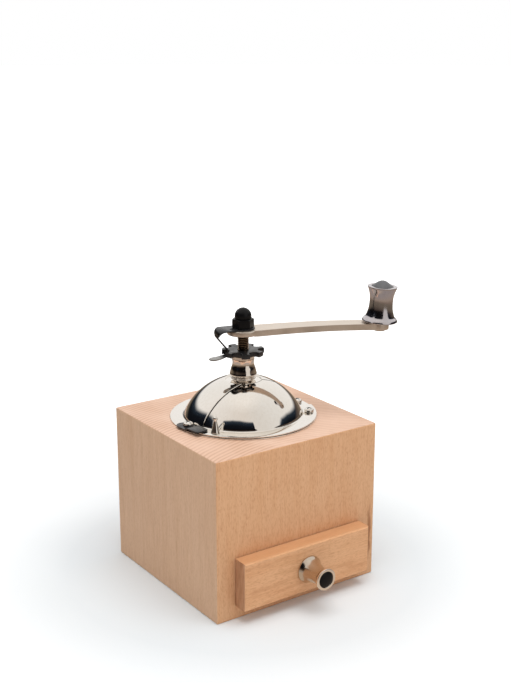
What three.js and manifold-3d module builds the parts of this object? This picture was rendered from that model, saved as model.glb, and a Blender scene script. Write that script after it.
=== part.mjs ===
// A hand-cranked box mill for salt, pepper and spices: a mitred beech box with a drawer, a polished
// two-part dome with a swinging door, and a crank that turns a toothed cone inside a toothed ring.
// Millimetres, +Z up. The origin is the centre of the box's underside, and the drawer faces -Y.
import * as THREE from "three";
import { mergeVertices } from "three/addons/utils/BufferGeometryUtils.js";
import { RoundedBoxGeometry } from "three/addons/geometries/RoundedBoxGeometry.js";
import { ConvexGeometry } from "three/addons/geometries/ConvexGeometry.js";
import Module from "manifold-3d";

// Fits: what rests on a neighbour keeps the joint line, what moves past one keeps the running gap.
const jointLine = 0.1;
const runningGap = 0.3;
const overrun = 5;

// Box
const boxWidth = 130;
const boxDepth = 130;
const boxHeight = 111.25;
const boardThickness = 12;
const bottomThickness = 6;
const boxEdgeRadius = 1.1;
const boxEdgeSteps = 2;

// Drawer and its runners
const drawerBackClearance = 10.2;
const drawerTrayHeight = 27;
const drawerSideThickness = 5;
const drawerFloorThickness = 3;
const drawerFloorInset = 1.2;
const drawerPanelWidth = 102;
const drawerPanelHeight = 33.2;
const drawerPanelThickness = 11;
const drawerPanelBevel = 0.9;
const drawerPanelBottom = 10;
const drawerSideGap = 0.6;
const drawerTopGap = 0.9;
const runnerLedgeHeight = 5;
const runnerLedgeWidth = 14;
const runnerGuideHeight = 9;
const runnerGuideWidth = 6.6;

// Drawer knob, measured outward from the panel's face. Its outline runs from the foot's lip over
// the flare, the waist and the neck to the rim, at these shares of its length.
const drawerKnobHeight = 25.9;
const drawerKnobLength = 18.5;
const drawerKnobFootRadius = 9.3;
const drawerKnobWaistRadius = 4.9;
const drawerKnobRimRadius = 7.4;
const drawerKnobRimWidth = 1.9;
const drawerKnobRecess = 1.9;
const drawerKnobCapRise = 1;
const drawerKnobThreadDepth = 11;
const drawerKnobLengthShares = [0.05, 0.2, 0.5, 0.8, 0.94];
const drawerKnobFlareShare = 0.72;
const drawerKnobNeckShare = 0.76;
const drawerScrewRadius = 2;
const drawerScrewHeadRadius = 4.2;
const drawerScrewHeadHeight = 2.4;

// Dome: a rear pressing with the ring all round, and a front door with a flange of its own
const flangeRadius = 50.5;
const flangeThickness = 0.9;
const domeSheet = 0.8;
const domeRadius = 45.4;
const domeCentreBelowTop = 17.2;
const footFillet = 1.2;
const footFilletSweep = 80;
const footFilletSteps = 2;
const landRadius = 12.5;
const landDepth = 0.9;
const landFillet = 0.6;
const slitDistance = 11;
const slitGap = 0.4;
const doorRightRelief = 1.2;
const doorFlangeRelief = 2.2;
const rearRightRelief = 0.8;

// Screws and fittings on the ring
const ringScrewCircle = 45.2;
const latchScrewAngle = 181;
const rightScrewAngle = -1.7;
const rearScrewAngle = 87;
const pivotScrewAngle = -33.7;
const pullPinAngle = 211.9;
const screwHeadRadius = 3.35;
const screwHeadHeight = 2.6;
const screwShankRadius = 1.7;
const screwPointCover = 1.5;
const screwPointLength = 2.7;
const screwPointShare = 0.3;
const screwHeadEdgeShare = 0.35;
const latchLength = 26.1;
const latchWidth = 9.6;
const latchThickness = 0.9;
const latchHeelLength = 7.2;
const latchLean = 5.5;
const latchOffset = 1.9;
const latchCornerRadius = 2.2;
const latchRamp = 2.8;
const pullPinHeight = 11;
const pullPinFootRadius = 2.9;
const pullPinNeckRadius = 1.05;
const pullPinBallRadius = 1.5;
const pullPinTailRadius = 1.4;
const pullPinHeightShares = [0.06, 0.35];
const pullPinFlareShare = 0.72;
const pullPinBallStart = -40;
const pullPinSteps = 6;

// Hopper
const hopperSheet = 0.8;
const hopperMouthRadius = 35;
const hopperFlangeRadius = 40;
const hopperWallDepth = 14;
const hopperConeDepth = 12.75;
const hopperFloorRadius = 24.5;
const hopperThroatRadius = 15.6;

// Burrs
const burrRingHeight = 19;
const burrRingRadius = 24;
const burrFineHeight = 8;
const burrConeFootRadius = 16;
const burrConeWaistRadius = 12.8;
const burrConeTipRadius = 6.6;
const burrConeHeight = 22;
const burrConeSetback = 1.4;
const burrGap = 1;
const burrToothDepth = 0.9;
const burrFluteDepth = 1.6;
const burrRingFlare = 1;
const burrFineTeeth = 24;
const burrFlutes = 7;
const burrFineTwist = 14;
const burrFluteTwist = 70;
const toothShares = [[0, 1], [0.3, 0], [0.55, 0], [0.75, 1]];
const conePinRadius = 1.2;

// Bearing bridge and the bolts that hold ring and bridge under the hopper
const bridgeThickness = 2.5;
const bridgeWidth = 11;
const bridgeDrop = 5;
const bridgeShelf = 12;
const bridgePadReach = 16.3;
const bridgeHubRadius = 6;
const bridgeHubHeight = 5;
const millBoltCircle = 20.6;
const millBoltRadius = 1.5;
const millBoltHeadRadius = 3;
const millBoltHeadHeight = 1.8;
const millNutAcrossFlats = 5.5;
const millNutHeight = 2.4;

// Spindle and the neck that carries it
const spindleRadius = 3.9;
const spindleJournalRadius = 3;
const spindleFlat = 3.1;
const spindleTailBelowBridge = 1.6;
const spindleNutReach = 7;
const spindleTopChamfer = 0.6;
const spindleTailChamfer = 0.3;
const spindleShoulderGap = 1.8;
const boreClearance = 0.15;
const neckHeight = 17.7;
const neckTopRadius = 7.6;
const neckRollRadius = 9.3;
const neckRollHeight = 4.8;
const neckRingRadius = 8.6;
const neckRingHeight = 1.7;
const neckFootRadius = 6.7;
const neckTailRadius = 5.8;
const neckTailLength = 5;
const neckGrooveDepth = 0.5;
const neckGrooveWidth = 0.5;
const neckGrooveEdge = 0.2;
const neckGrooveHeight = 15.6;
const neckRingHalf = 1;
const neckRingFoot = 1.65;
const neckWaistShares = [0.45, 0.6, 0.86];
const neckNutAcrossFlats = 15;
const neckNutHeight = 3.6;
const springCollarRadius = 6.6;
const springCollarHeight = 3;
const springCollarBelowNeck = 31;
const springWireRadius = 0.55;
const springCoilRadius = 5.3;
const springTurns = 6;
const springStepsPerTurn = 8;
const springWireSides = 5;

// Adjusting wheel and its thrust washer
const washerRadius = 7.2;
const washerThickness = 0.9;
const wheelRadius = 14.5;
const wheelHeight = 3.3;
const wheelPlate = 1.1;
const wheelSkirt = 1.1;
const wheelHubRadius = 6.2;
const wheelNotches = 7;
const notchRadius = 3.5;
const notchCircle = 13.4;

// Crank
const crankAngle = -27;
const hubRadius = 10.9;
const hubThickness = 3.6;
const hubHeightAboveWheel = 10.8;
const hubSlotWidth = 3;
const hubSlotDepth = 1;
const armReach = 94.2;
const armRootWidth = 18;
const armTipWidth = 11.6;
const armThickness = 4.2;
const armRise = 2;
const armEdge = 0.5;
const armSteps = 9;
const armStartShare = 0.07;
const armPeakShare = 0.65;
const bossRadius = 6.7;
const bossThickness = 4.7;

// Locking clip, drawn towards -X and turned a little from the line of the arm
const clipSkew = 13;
const clipThickness = 0.8;
const clipEyeRadius = 8;
const clipWidth = 14.4;
const clipWaist = 4.6;
const clipReach = 15;
const clipBendRadius = 3.8;
const clipLegDrop = 1.2;
const clipLeafInset = 11.65;
const clipTongueWidth = 6.4;
const clipTongueReach = 24.2;
const clipTongueDrop = 1.8;
const clipTabSkew = 18;
const clipTabLength = 3.9;
const clipSteps = 28;
const clipBendSteps = 4;
const bendTaperShares = [0, 0.05, 0.15, 0.35, 0.6];
const legTaperShare = 0.85;
const tongueTipShare = 0.33;
const acornAcrossFlats = 13;
const acornHexHeight = 6;
const acornDomeRadius = 5.7;
const acornHeight = 13.6;

// Crank knob, measured up from the arm's boss. Its outline runs from the foot's lip over the widest
// place, the flare, the waist and the neck to the rim, at these shares of its height.
const knobTilt = 3.5;
const knobHeight = 25.2;
const knobFootRadius = 12.1;
const knobWaistRadius = 8;
const knobRimRadius = 10.3;
const knobRimWidth = 2.9;
const knobRecess = 2;
const knobCapRise = 4;
const knobHeightShares = [0.045, 0.1, 0.24, 0.55, 0.83, 0.95];
const knobLipShare = 0.94;
const knobWidestShare = 0.985;
const knobFlareShare = 0.84;
const knobNeckShare = 0.88;
const knobBoreRadius = 2.9;
const knobCounterbore = 5.2;
const knobCounterboreDepth = 5;
const axleRadius = 2.55;
const axleHeadRadius = 4.4;
const axleHeadHeight = 1.4;

// How finely round forms are divided
const domeSegments = 48;
const domeArcSteps = 6;
const roundSegments = 24;
const smallSegments = 12;
const curveSteps = 8;
const outlineSteps = 3;
const fineSteps = 2;
const fluteSteps = 5;
const weldTolerance = 1e-4;

// Heights that follow from the sizes above
const ringBottom = boxHeight + jointLine;
const ringTop = ringBottom + flangeThickness;
const doorFlangeBottom = ringTop + runningGap;
const doorFlangeTop = doorFlangeBottom + flangeThickness;
const domeCentre = boxHeight - domeCentreBelowTop;
const landTop = domeCentre + Math.sqrt(domeRadius ** 2 - landRadius ** 2) - landDepth;
const neckBottom = landTop + jointLine;
const neckTop = neckBottom + neckHeight;
const washerBottom = neckTop + jointLine;
const wheelBottom = neckTop + 2 * runningGap;
const wheelTop = wheelBottom + wheelHeight;
const hubBottom = wheelTop + hubHeightAboveWheel;
const hubTop = hubBottom + hubThickness;
const clipBottom = hubTop + jointLine;
const clipTop = clipBottom + clipThickness;
const acornBottom = clipTop + jointLine;
const hopperTop = boxHeight;
const hopperFloor = hopperTop - hopperWallDepth - hopperConeDepth;
const burrRingTop = hopperFloor - hopperSheet - jointLine;
const burrRingBottom = burrRingTop - burrRingHeight;
const burrConeBottom = burrRingBottom + burrConeSetback;
const burrFineTop = burrConeBottom + burrFineHeight;
const bridgeTop = burrRingBottom - jointLine;
const bridgeFloor = bridgeTop - bridgeDrop;
const spindleBottom = bridgeFloor - bridgeThickness - spindleTailBelowBridge;
const drawerBottom = bottomThickness + jointLine + runnerLedgeHeight + runningGap;
const insideHalfWidth = boxWidth / 2 - boardThickness - jointLine;
const insideHalfDepth = boxDepth / 2 - boardThickness - jointLine;
const drawerHalfWidth = insideHalfWidth - runnerGuideWidth - runningGap;
const frontFace = -boxDepth / 2;
const panelBack = frontFace - runningGap;
const panelFace = panelBack - drawerPanelThickness;
const drawerEnd = insideHalfDepth - drawerBackClearance;

const wasm = await Module();
wasm.setup();

// A closed geometry as a solid that can be cut and joined, with its faces pointing out.
function solidOf(geometry) {
  const bare = new THREE.BufferGeometry();
  bare.setAttribute("position", geometry.getAttribute("position"));
  bare.setIndex(geometry.getIndex());
  const welded = mergeVertices(bare, weldTolerance);
  const corners = [];
  const index = welded.getIndex().array;
  for (let i = 0; i < index.length; i += 3) {
    const [a, b, c] = [index[i], index[i + 1], index[i + 2]];
    if (a !== b && b !== c && c !== a) corners.push([a, b, c]);
  }
  const make = (triangles) =>
    new wasm.Manifold(
      new wasm.Mesh({
        numProp: 3,
        vertProperties: welded.getAttribute("position").array,
        triVerts: Uint32Array.from(triangles.flat()),
      }),
    );
  const made = make(corners);
  return made.volume() < 0 ? make(corners.map(([a, b, c]) => [a, c, b])) : made;
}

// A solid back as a geometry.
function geometryOf(solid) {
  const mesh = solid.getMesh();
  const geometry = new THREE.BufferGeometry();
  geometry.setAttribute("position", new THREE.BufferAttribute(mesh.vertProperties, 3));
  geometry.setIndex(new THREE.BufferAttribute(mesh.triVerts, 1));
  return geometry;
}

function join(...geometries) {
  return geometryOf(geometries.map(solidOf).reduce((all, next) => all.add(next)));
}

function cut(body, ...tools) {
  return geometryOf(tools.map(solidOf).reduce((left, tool) => left.subtract(tool), solidOf(body)));
}

function common(...geometries) {
  return geometryOf(geometries.map(solidOf).reduce((all, next) => all.intersect(next)));
}

// A profile of [radius, height] points turned about the vertical axis. It starts and ends on the
// axis, or it is a closed ring of points.
function turned(profile, segments = roundSegments) {
  const points = profile.map(([radius, height]) => new THREE.Vector2(radius, height));
  if (points[0].x > 0) points.push(points[0].clone());
  if (THREE.ShapeUtils.area(points) < 0) points.reverse();
  return new THREE.LatheGeometry(points, segments).rotateX(Math.PI / 2);
}

function cylinder(radius, bottom, top, segments = smallSegments) {
  return turned([[0, bottom], [radius, bottom], [radius, top], [0, top]], segments);
}

function hexagon(acrossFlats, bottom, top) {
  const radius = acrossFlats / 2 / Math.cos(Math.PI / 6);
  return turned([[0, bottom], [radius, bottom], [radius, top], [0, top]], 6);
}

// A cuboid given by its lowest and highest corner.
function cuboid([x0, y0, z0], [x1, y1, z1]) {
  const block = new THREE.BoxGeometry(x1 - x0, y1 - y0, z1 - z0);
  return block.translate((x0 + x1) / 2, (y0 + y1) / 2, (z0 + z1) / 2);
}

// An outline in plan, raised from one height to another.
function raised(shape, bottom, top) {
  const options = { depth: top - bottom, bevelEnabled: false, curveSegments: outlineSteps };
  return new THREE.ExtrudeGeometry(shape, options).translate(0, 0, bottom);
}

// An outline in the XZ plane, drawn as (x, z), spread over a width about Y = 0.
function spread(shape, width) {
  const options = { depth: width, bevelEnabled: false };
  const body = new THREE.ExtrudeGeometry(shape, options).rotateX(Math.PI / 2);
  return body.translate(0, width / 2, 0);
}

function outline(points) {
  return new THREE.Shape(points.map(([x, y]) => new THREE.Vector2(x, y)));
}

// A skin over sections with equal numbers of points, closed by a fan at each end.
function lofted(sections) {
  const count = sections[0].length;
  const points = sections.flat();
  const middleOf = (section) =>
    section.reduce((sum, p) => sum.add(p), new THREE.Vector3()).divideScalar(count);
  points.push(middleOf(sections[0]), middleOf(sections.at(-1)));
  const [firstMiddle, lastMiddle] = [points.length - 2, points.length - 1];
  const lastStart = count * (sections.length - 1);
  const index = [];
  for (let i = 0; i < count; i++) {
    const next = (i + 1) % count;
    for (let start = 0; start < lastStart; start += count) {
      const [a, b] = [start + i, start + next];
      index.push(a, b, b + count, a, b + count, a + count);
    }
    index.push(firstMiddle, next, i, lastMiddle, lastStart + i, lastStart + next);
  }
  return new THREE.BufferGeometry().setFromPoints(points).setIndex(index);
}

// Points of a smooth curve through the given [radius, height] places.
function smooth(places, steps = curveSteps) {
  const curve = new THREE.SplineCurve(places.map(([x, y]) => new THREE.Vector2(x, y)));
  return curve.getPoints(steps).map((p) => [p.x, p.y]);
}

// Points of a circular arc about a centre, with its angles in degrees.
function arc([x, y], radius, from, to, steps) {
  return Array.from({ length: steps + 1 }, (_, i) => {
    const angle = THREE.MathUtils.degToRad(from + ((to - from) * i) / steps);
    return [x + radius * Math.cos(angle), y + radius * Math.sin(angle)];
  });
}

function onRing(angle, radius = ringScrewCircle) {
  const radians = THREE.MathUtils.degToRad(angle);
  return [radius * Math.cos(radians), radius * Math.sin(radians)];
}

// Finishes
const finish = (color, roughness, metalness) =>
  new THREE.MeshStandardMaterial({ color, roughness, metalness });
const beech = () => finish(0xd9ab82, 0.55, 0);
const drawerBeech = () => finish(0xdba979, 0.55, 0);
const plywood = () => finish(0xd8b98c, 0.7, 0);
const polishedNickel = () => finish(0xe4e1dc, 0.08, 1);
const castNickel = () => finish(0xcfc4b4, 0.3, 1);
const blackSteel = () => finish(0x1b1b1c, 0.4, 0.4);
const blackPlastic = () => finish(0x141415, 0.45, 0);
const greyPlastic = () => finish(0x55565a, 0.5, 0);
const plainSteel = () => finish(0xa9a7a3, 0.3, 1);
const hardenedSteel = () => finish(0x77757a, 0.35, 1);

function piece(name, material, geometry) {
  const mesh = new THREE.Mesh(geometryOf(solidOf(geometry)), material);
  mesh.name = name;
  return mesh;
}

// Box: four walls and a top, mitred along every edge that shows, round a let-in floor.

function roundedBlock() {
  const block = new RoundedBoxGeometry(boxWidth, boxDepth, boxHeight, boxEdgeSteps, boxEdgeRadius);
  return block.translate(0, 0, boxHeight / 2);
}

// The blank of a wall that faces -Y, its side and top edges cut at 45 degrees.
function wallBlank(width, distance) {
  const corners = [];
  for (const side of [-1, 1]) {
    for (const depth of [0, boardThickness]) {
      const x = side * (width / 2 - depth - jointLine / 2);
      const y = depth - distance;
      corners.push(new THREE.Vector3(x, y, 0));
      corners.push(new THREE.Vector3(x, y, boxHeight - depth - jointLine / 2));
    }
  }
  return new ConvexGeometry(corners);
}

function topBlank() {
  const corners = [];
  for (const [sx, sy] of [[-1, -1], [1, -1], [1, 1], [-1, 1]]) {
    for (const depth of [0, boardThickness]) {
      const inset = depth + jointLine / 2;
      const x = sx * (boxWidth / 2 - inset);
      const y = sy * (boxDepth / 2 - inset);
      corners.push(new THREE.Vector3(x, y, boxHeight - depth));
    }
  }
  return new ConvexGeometry(corners);
}

// The mitres of a narrow box lie under the ring, so the walls are drilled for its screws too.
function wall(name, width, distance, quarterTurns, ...openings) {
  const blank = wallBlank(width, distance).rotateZ((quarterTurns * Math.PI) / 2);
  return piece(name, beech(), cut(common(roundedBlock(), blank), ...openings, ...pilotHoles()));
}

function drawerOpening() {
  const x = drawerHalfWidth + drawerSideGap;
  const bottom = drawerBottom - runningGap;
  const top = drawerBottom + drawerTrayHeight + drawerTopGap;
  return cuboid([-x, frontFace - overrun, bottom], [x, frontFace + boardThickness + overrun, top]);
}

// The height of the ring screws' points, which stay inside the top board.
function screwEnd() {
  return boxHeight - boardThickness + screwPointCover;
}

function pilotHoles() {
  return [latchScrewAngle, rightScrewAngle, rearScrewAngle, pivotScrewAngle].map((angle) => {
    const [x, y] = onRing(angle);
    const radius = screwShankRadius + jointLine;
    return cylinder(radius, screwEnd() - jointLine, boxHeight + overrun).translate(x, y, 0);
  });
}

function topBoard() {
  const well = hopperMouthRadius + hopperSheet + runningGap;
  const seat = hopperFlangeRadius + runningGap;
  const seatFloor = hopperTop - hopperSheet - jointLine;
  const opening = turned([
    [0, boxHeight - boardThickness - overrun],
    [well, boxHeight - boardThickness - overrun],
    [well, seatFloor],
    [seat, seatFloor],
    [seat, boxHeight + overrun],
    [0, boxHeight + overrun],
  ], domeSegments);
  const board = cut(common(roundedBlock(), topBlank()), opening, ...pilotHoles());
  return piece("top_board", beech(), board);
}

function bottomBoard() {
  const [x, y] = [insideHalfWidth, insideHalfDepth];
  return piece("bottom_board", beech(), cuboid([-x, -y, 0], [x, y, bottomThickness]));
}

function runner(name, side) {
  const outer = insideHalfWidth;
  const guide = outer - runnerGuideWidth;
  const bottom = bottomThickness + jointLine;
  const ledge = bottom + runnerLedgeHeight;
  const profile = outline([
    [outer - runnerLedgeWidth, bottom],
    [outer, bottom],
    [outer, ledge + runnerGuideHeight],
    [guide, ledge + runnerGuideHeight],
    [guide, ledge],
    [outer - runnerLedgeWidth, ledge],
  ]);
  const rail = spread(profile, 2 * insideHalfDepth);
  if (side < 0) rail.rotateZ(Math.PI);
  return piece(name, beech(), rail);
}

// Drawer: a bevelled panel that overlaps the opening, with a plain tray behind it.

function drawerFront() {
  const rectangle = (inset, y) => {
    const x = drawerPanelWidth / 2 - inset;
    const low = drawerPanelBottom + inset;
    const high = drawerPanelBottom + drawerPanelHeight - inset;
    return [[-x, low], [x, low], [x, high], [-x, high]].map(
      ([px, pz]) => new THREE.Vector3(px, y, pz),
    );
  };
  const board = lofted([
    rectangle(0, panelBack),
    rectangle(0, panelFace + drawerPanelBevel),
    rectangle(drawerPanelBevel, panelFace),
  ]);
  const hole = cylinder(drawerScrewRadius + jointLine, -overrun, drawerPanelThickness + overrun);
  return cut(board, outward(hole, panelBack));
}

// Turns a form that stands on the horizontal plane so that it stands out of a wall, towards -Y.
function outward(geometry, wallY) {
  return geometry.rotateX(Math.PI / 2).translate(0, wallY, drawerKnobHeight);
}

function drawerKnob() {
  const recessRadius = drawerKnobRimRadius - drawerKnobRimWidth;
  const length = drawerKnobLength;
  const [lip, flare, waist, neck, rim] = drawerKnobLengthShares.map((share) => length * share);
  const profile = [
    [0, 0],
    [drawerKnobFootRadius, 0],
    ...smooth([
      [drawerKnobFootRadius, lip],
      [drawerKnobFootRadius * drawerKnobFlareShare, flare],
      [drawerKnobWaistRadius, waist],
      [drawerKnobRimRadius * drawerKnobNeckShare, neck],
      [drawerKnobRimRadius, rim],
    ]),
    [drawerKnobRimRadius, length],
    [recessRadius, length],
    [recessRadius, length - drawerKnobRecess],
    [0, length - drawerKnobRecess],
  ];
  const thread = cylinder(drawerScrewRadius + jointLine, -overrun, drawerKnobThreadDepth);
  return outward(cut(turned(profile), thread), panelFace - jointLine);
}

function drawerKnobCap() {
  const radius = drawerKnobRimRadius - drawerKnobRimWidth - jointLine;
  const bottom = drawerKnobLength - drawerKnobRecess + jointLine;
  const crown = drawerKnobLength + drawerKnobCapRise;
  const rim = drawerKnobLength;
  const profile = [[0, bottom], [radius, bottom], ...domed(radius, rim, crown)];
  return outward(turned(profile), panelFace - jointLine);
}

// The [radius, height] points of a shallow crown, from its rim to the axis.
function domed(radius, rim, crown, steps = curveSteps / 2) {
  return Array.from({ length: steps + 1 }, (_, i) => {
    const angle = (Math.PI / 2) * (i / steps);
    const r = i === steps ? 0 : radius * Math.cos(angle);
    return [r, rim + (crown - rim) * Math.sin(angle)];
  });
}

function drawerKnobScrew() {
  const reach = drawerPanelThickness + jointLine + drawerKnobThreadDepth - runningGap;
  const profile = [
    ...domed(drawerScrewHeadRadius, -jointLine - drawerScrewHeadHeight / 2,
      -jointLine - drawerScrewHeadHeight).reverse(),
    [drawerScrewHeadRadius, -jointLine],
    [drawerScrewRadius, -jointLine],
    [drawerScrewRadius, reach],
    [0, reach],
  ];
  return outward(turned(profile, smallSegments), panelBack);
}

function drawer() {
  const group = new THREE.Group();
  const x = drawerHalfWidth;
  const front = panelBack + jointLine;
  const back = drawerEnd;
  const top = drawerBottom + drawerTrayHeight;
  const inside = x - drawerSideThickness;
  const floorBottom = drawerBottom + drawerFloorInset;
  group.add(piece("drawer_front", drawerBeech(), drawerFront()));
  for (const [name, side] of [["drawer_side_left", -1], ["drawer_side_right", 1]]) {
    const [low, high] = [side * x, side * inside].sort((a, b) => a - b);
    group.add(piece(name, drawerBeech(), cuboid([low, front, drawerBottom], [high, back, top])));
  }
  const within = inside - jointLine;
  group.add(piece("drawer_back", drawerBeech(),
    cuboid([-within, back - drawerSideThickness, drawerBottom], [within, back, top])));
  group.add(piece("drawer_floor", plywood(), cuboid(
    [-within, front, floorBottom],
    [within, back - drawerSideThickness - jointLine, floorBottom + drawerFloorThickness],
  )));
  group.add(piece("drawer_knob", polishedNickel(), drawerKnob()));
  group.add(piece("drawer_knob_cap", blackPlastic(), drawerKnobCap()));
  group.add(piece("drawer_knob_screw", plainSteel(), drawerKnobScrew()));
  return group;
}

// Dome

// The section of the dome in sheet metal with a flat flange round its foot. The sheet runs up to
// the land's radius, and on over the sunk land that takes the neck where one is asked for.
function domeSection(flangeBottom, landed) {
  const flangeTop = flangeBottom + flangeThickness;
  const inner = domeRadius - domeSheet;
  const footHeight = flangeTop + footFillet - domeCentre;
  const footOut = Math.sqrt(domeRadius ** 2 - footHeight ** 2) + footFillet;
  const degrees = THREE.MathUtils.radToDeg;
  const rim = (radius) => degrees(Math.acos(landRadius / radius));
  const footAngle = degrees(Math.asin(footHeight / domeRadius));
  const innerFoot = degrees(Math.asin((flangeBottom - domeCentre) / inner));
  const outer = arc([0, domeCentre], domeRadius, footAngle, rim(domeRadius), domeArcSteps);
  const under = arc([0, domeCentre], inner, rim(inner), innerFoot, domeArcSteps);
  const footTop = flangeTop + footFillet;
  const foot = arc([footOut, footTop], footFillet, 270, 270 - footFilletSweep, footFilletSteps);
  const hole = neckTailRadius + jointLine;
  const land = [
    [landRadius - landFillet, landTop],
    [hole, landTop],
    [hole, landTop - domeSheet],
    [landRadius - landFillet - domeSheet, landTop - domeSheet],
  ];
  return [
    [flangeRadius, flangeBottom],
    [flangeRadius, flangeTop],
    ...foot,
    ...outer,
    ...(landed ? land : []),
    ...under,
  ];
}

// The front region of the dome in plan: all that lies in front of the slit, less the land.
function frontRegion(leftY, rightY, keepRadius, bottom) {
  const far = flangeRadius + overrun;
  const plan = outline([
    [-far, -far],
    [far, -far],
    [far, rightY],
    [0, rightY],
    [0, leftY],
    [-far, leftY],
  ]);
  const top = domeCentre + domeRadius + overrun;
  const kept = cylinder(keepRadius, bottom - overrun, top + overrun, roundSegments);
  return cut(raised(plan, bottom, top), kept);
}

function screwHoles(angles, radius, bottom, top) {
  return angles.map((angle) => {
    const [x, y] = onRing(angle);
    return cylinder(radius, bottom - overrun, top + overrun).translate(x, y, 0);
  });
}

function rearDome() {
  const whole = turned(domeSection(ringBottom, true), domeSegments);
  const leftY = slitGap - slitDistance;
  const rightY = -slitDistance + doorRightRelief + rearRightRelief;
  const front = frontRegion(leftY, rightY, landRadius + runningGap, ringTop);
  const angles = [latchScrewAngle, rightScrewAngle, rearScrewAngle, pivotScrewAngle];
  const holes = screwHoles(angles, screwShankRadius + jointLine, ringBottom, ringTop);
  return piece("rear_dome", polishedNickel(), cut(whole, front, ...holes));
}

function domeDoor() {
  const whole = turned(domeSection(doorFlangeBottom, false), domeSegments);
  const rightY = -slitDistance + doorRightRelief;
  const keep = landRadius + 2 * runningGap;
  const region = frontRegion(-slitDistance, rightY, keep, doorFlangeBottom - overrun);
  const foot = Math.sqrt(domeRadius ** 2 - (doorFlangeTop - domeCentre) ** 2) + footFillet;
  const flangeEnd = cuboid(
    [foot, -slitDistance - doorFlangeRelief, doorFlangeBottom - overrun],
    [flangeRadius + overrun, rightY + overrun, doorFlangeTop + overrun],
  );
  const hole = (angle, radius) =>
    screwHoles([angle], radius + jointLine, doorFlangeBottom, doorFlangeTop);
  const pivot = hole(pivotScrewAngle, screwShankRadius);
  const pin = hole(pullPinAngle, pullPinTailRadius);
  const door = cut(common(whole, region), flangeEnd, ...pivot, ...pin);
  return piece("dome_door", polishedNickel(), door);
}

function pullPin() {
  const bottom = doorFlangeTop + jointLine;
  const top = bottom + pullPinHeight;
  const [lip, flare] = pullPinHeightShares.map((share) => bottom + pullPinHeight * share);
  const middle = [0, top - pullPinBallRadius];
  const ball = arc(middle, pullPinBallRadius, pullPinBallStart, 90, pullPinSteps);
  const profile = [
    [0, doorFlangeBottom],
    [pullPinTailRadius, doorFlangeBottom],
    [pullPinTailRadius, bottom],
    [pullPinFootRadius, bottom],
    ...smooth([
      [pullPinFootRadius, lip],
      [pullPinFootRadius * pullPinFlareShare, flare],
      [pullPinNeckRadius, top - 2 * pullPinBallRadius],
    ], pullPinSteps),
    ...ball.slice(0, -1),
    [0, top],
  ];
  const [x, y] = onRing(pullPinAngle);
  return piece("pull_pin", polishedNickel(), turned(profile, smallSegments).translate(x, y, 0));
}

// A pan-headed screw whose head rests at the given height.
function ringScrew(name, angle, seat) {
  const head = seat + jointLine;
  const profile = [
    [0, screwEnd()],
    [screwShankRadius * screwPointShare, screwEnd()],
    [screwShankRadius, screwEnd() + screwPointLength],
    [screwShankRadius, head],
    [screwHeadRadius, head],
    ...domed(screwHeadRadius, head + screwHeadHeight * screwHeadEdgeShare, head + screwHeadHeight),
  ];
  const [x, y] = onRing(angle);
  return piece(name, polishedNickel(), turned(profile, smallSegments).translate(x, y, 0));
}

// The latch: a sprung plate, screwed down at its heel, whose toe lies over the door's flange.
function latchPlate() {
  const heel = ringTop + jointLine;
  const toe = doorFlangeTop + runningGap;
  const half = latchWidth / 2;
  const end = latchLength - latchHeelLength;
  const side = outline([
    [-latchHeelLength, heel],
    [half, heel],
    [half + latchRamp, toe],
    [end, toe],
    [end, toe + latchThickness],
    [half + latchRamp, toe + latchThickness],
    [half, heel + latchThickness],
    [-latchHeelLength, heel + latchThickness],
  ]);
  const corner = half - latchCornerRadius;
  const plan = new THREE.Shape();
  plan.absarc(half - latchHeelLength, -latchOffset, half, Math.PI / 2, (3 * Math.PI) / 2, false);
  for (const [edge, start] of [[-1, -Math.PI / 2], [1, 0]]) {
    const y = edge * corner - latchOffset;
    plan.absarc(end - latchCornerRadius, y, latchCornerRadius, start, start + Math.PI / 2, false);
  }
  const body = common(spread(side, 3 * latchWidth), raised(plan, heel - overrun, toe + overrun));
  const hole = cylinder(screwShankRadius + jointLine, heel - overrun, toe + overrun);
  const plate = cut(body, hole);
  const [x, y] = onRing(latchScrewAngle);
  plate.rotateZ(-Math.PI / 2 + THREE.MathUtils.degToRad(latchLean)).translate(x, y, 0);
  return piece("latch_plate", blackSteel(), plate);
}

// Hopper, burrs and bridge

function hopper() {
  const cone = Math.atan2(hopperConeDepth, hopperMouthRadius - hopperFloorRadius);
  const miter = hopperSheet * Math.tan((Math.PI / 2 - cone) / 2);
  const profile = [
    [hopperFlangeRadius, hopperTop - hopperSheet],
    [hopperFlangeRadius, hopperTop],
    [hopperMouthRadius, hopperTop],
    [hopperMouthRadius, hopperTop - hopperWallDepth],
    [hopperFloorRadius, hopperFloor],
    [hopperThroatRadius, hopperFloor],
    [hopperThroatRadius, hopperFloor - hopperSheet],
    [hopperFloorRadius + miter, hopperFloor - hopperSheet],
    [hopperMouthRadius + hopperSheet, hopperTop - hopperWallDepth - miter],
    [hopperMouthRadius + hopperSheet, hopperTop - hopperSheet],
  ];
  return piece("hopper", polishedNickel(), cut(turned(profile, domeSegments), ...millBoltHoles()));
}

function millBoltHoles() {
  const radius = millBoltRadius + jointLine;
  const bottom = bridgeTop - bridgeThickness - overrun;
  return [-1, 1].map((side) =>
    cylinder(radius, bottom, hopperFloor + overrun).translate(side * millBoltCircle, 0, 0));
}

// A ring of teeth at one height: each tooth climbs to its crest, runs along it and drops back.
function toothedSection(crest, depth, teeth, turn, height) {
  const section = [];
  for (let tooth = 0; tooth < teeth; tooth++) {
    for (const [along, down] of toothShares) {
      const angle = ((tooth + along) / teeth) * 2 * Math.PI + THREE.MathUtils.degToRad(turn);
      const radius = crest - depth * down;
      section.push(new THREE.Vector3(radius * Math.cos(angle), radius * Math.sin(angle), height));
    }
  }
  return section;
}

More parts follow.
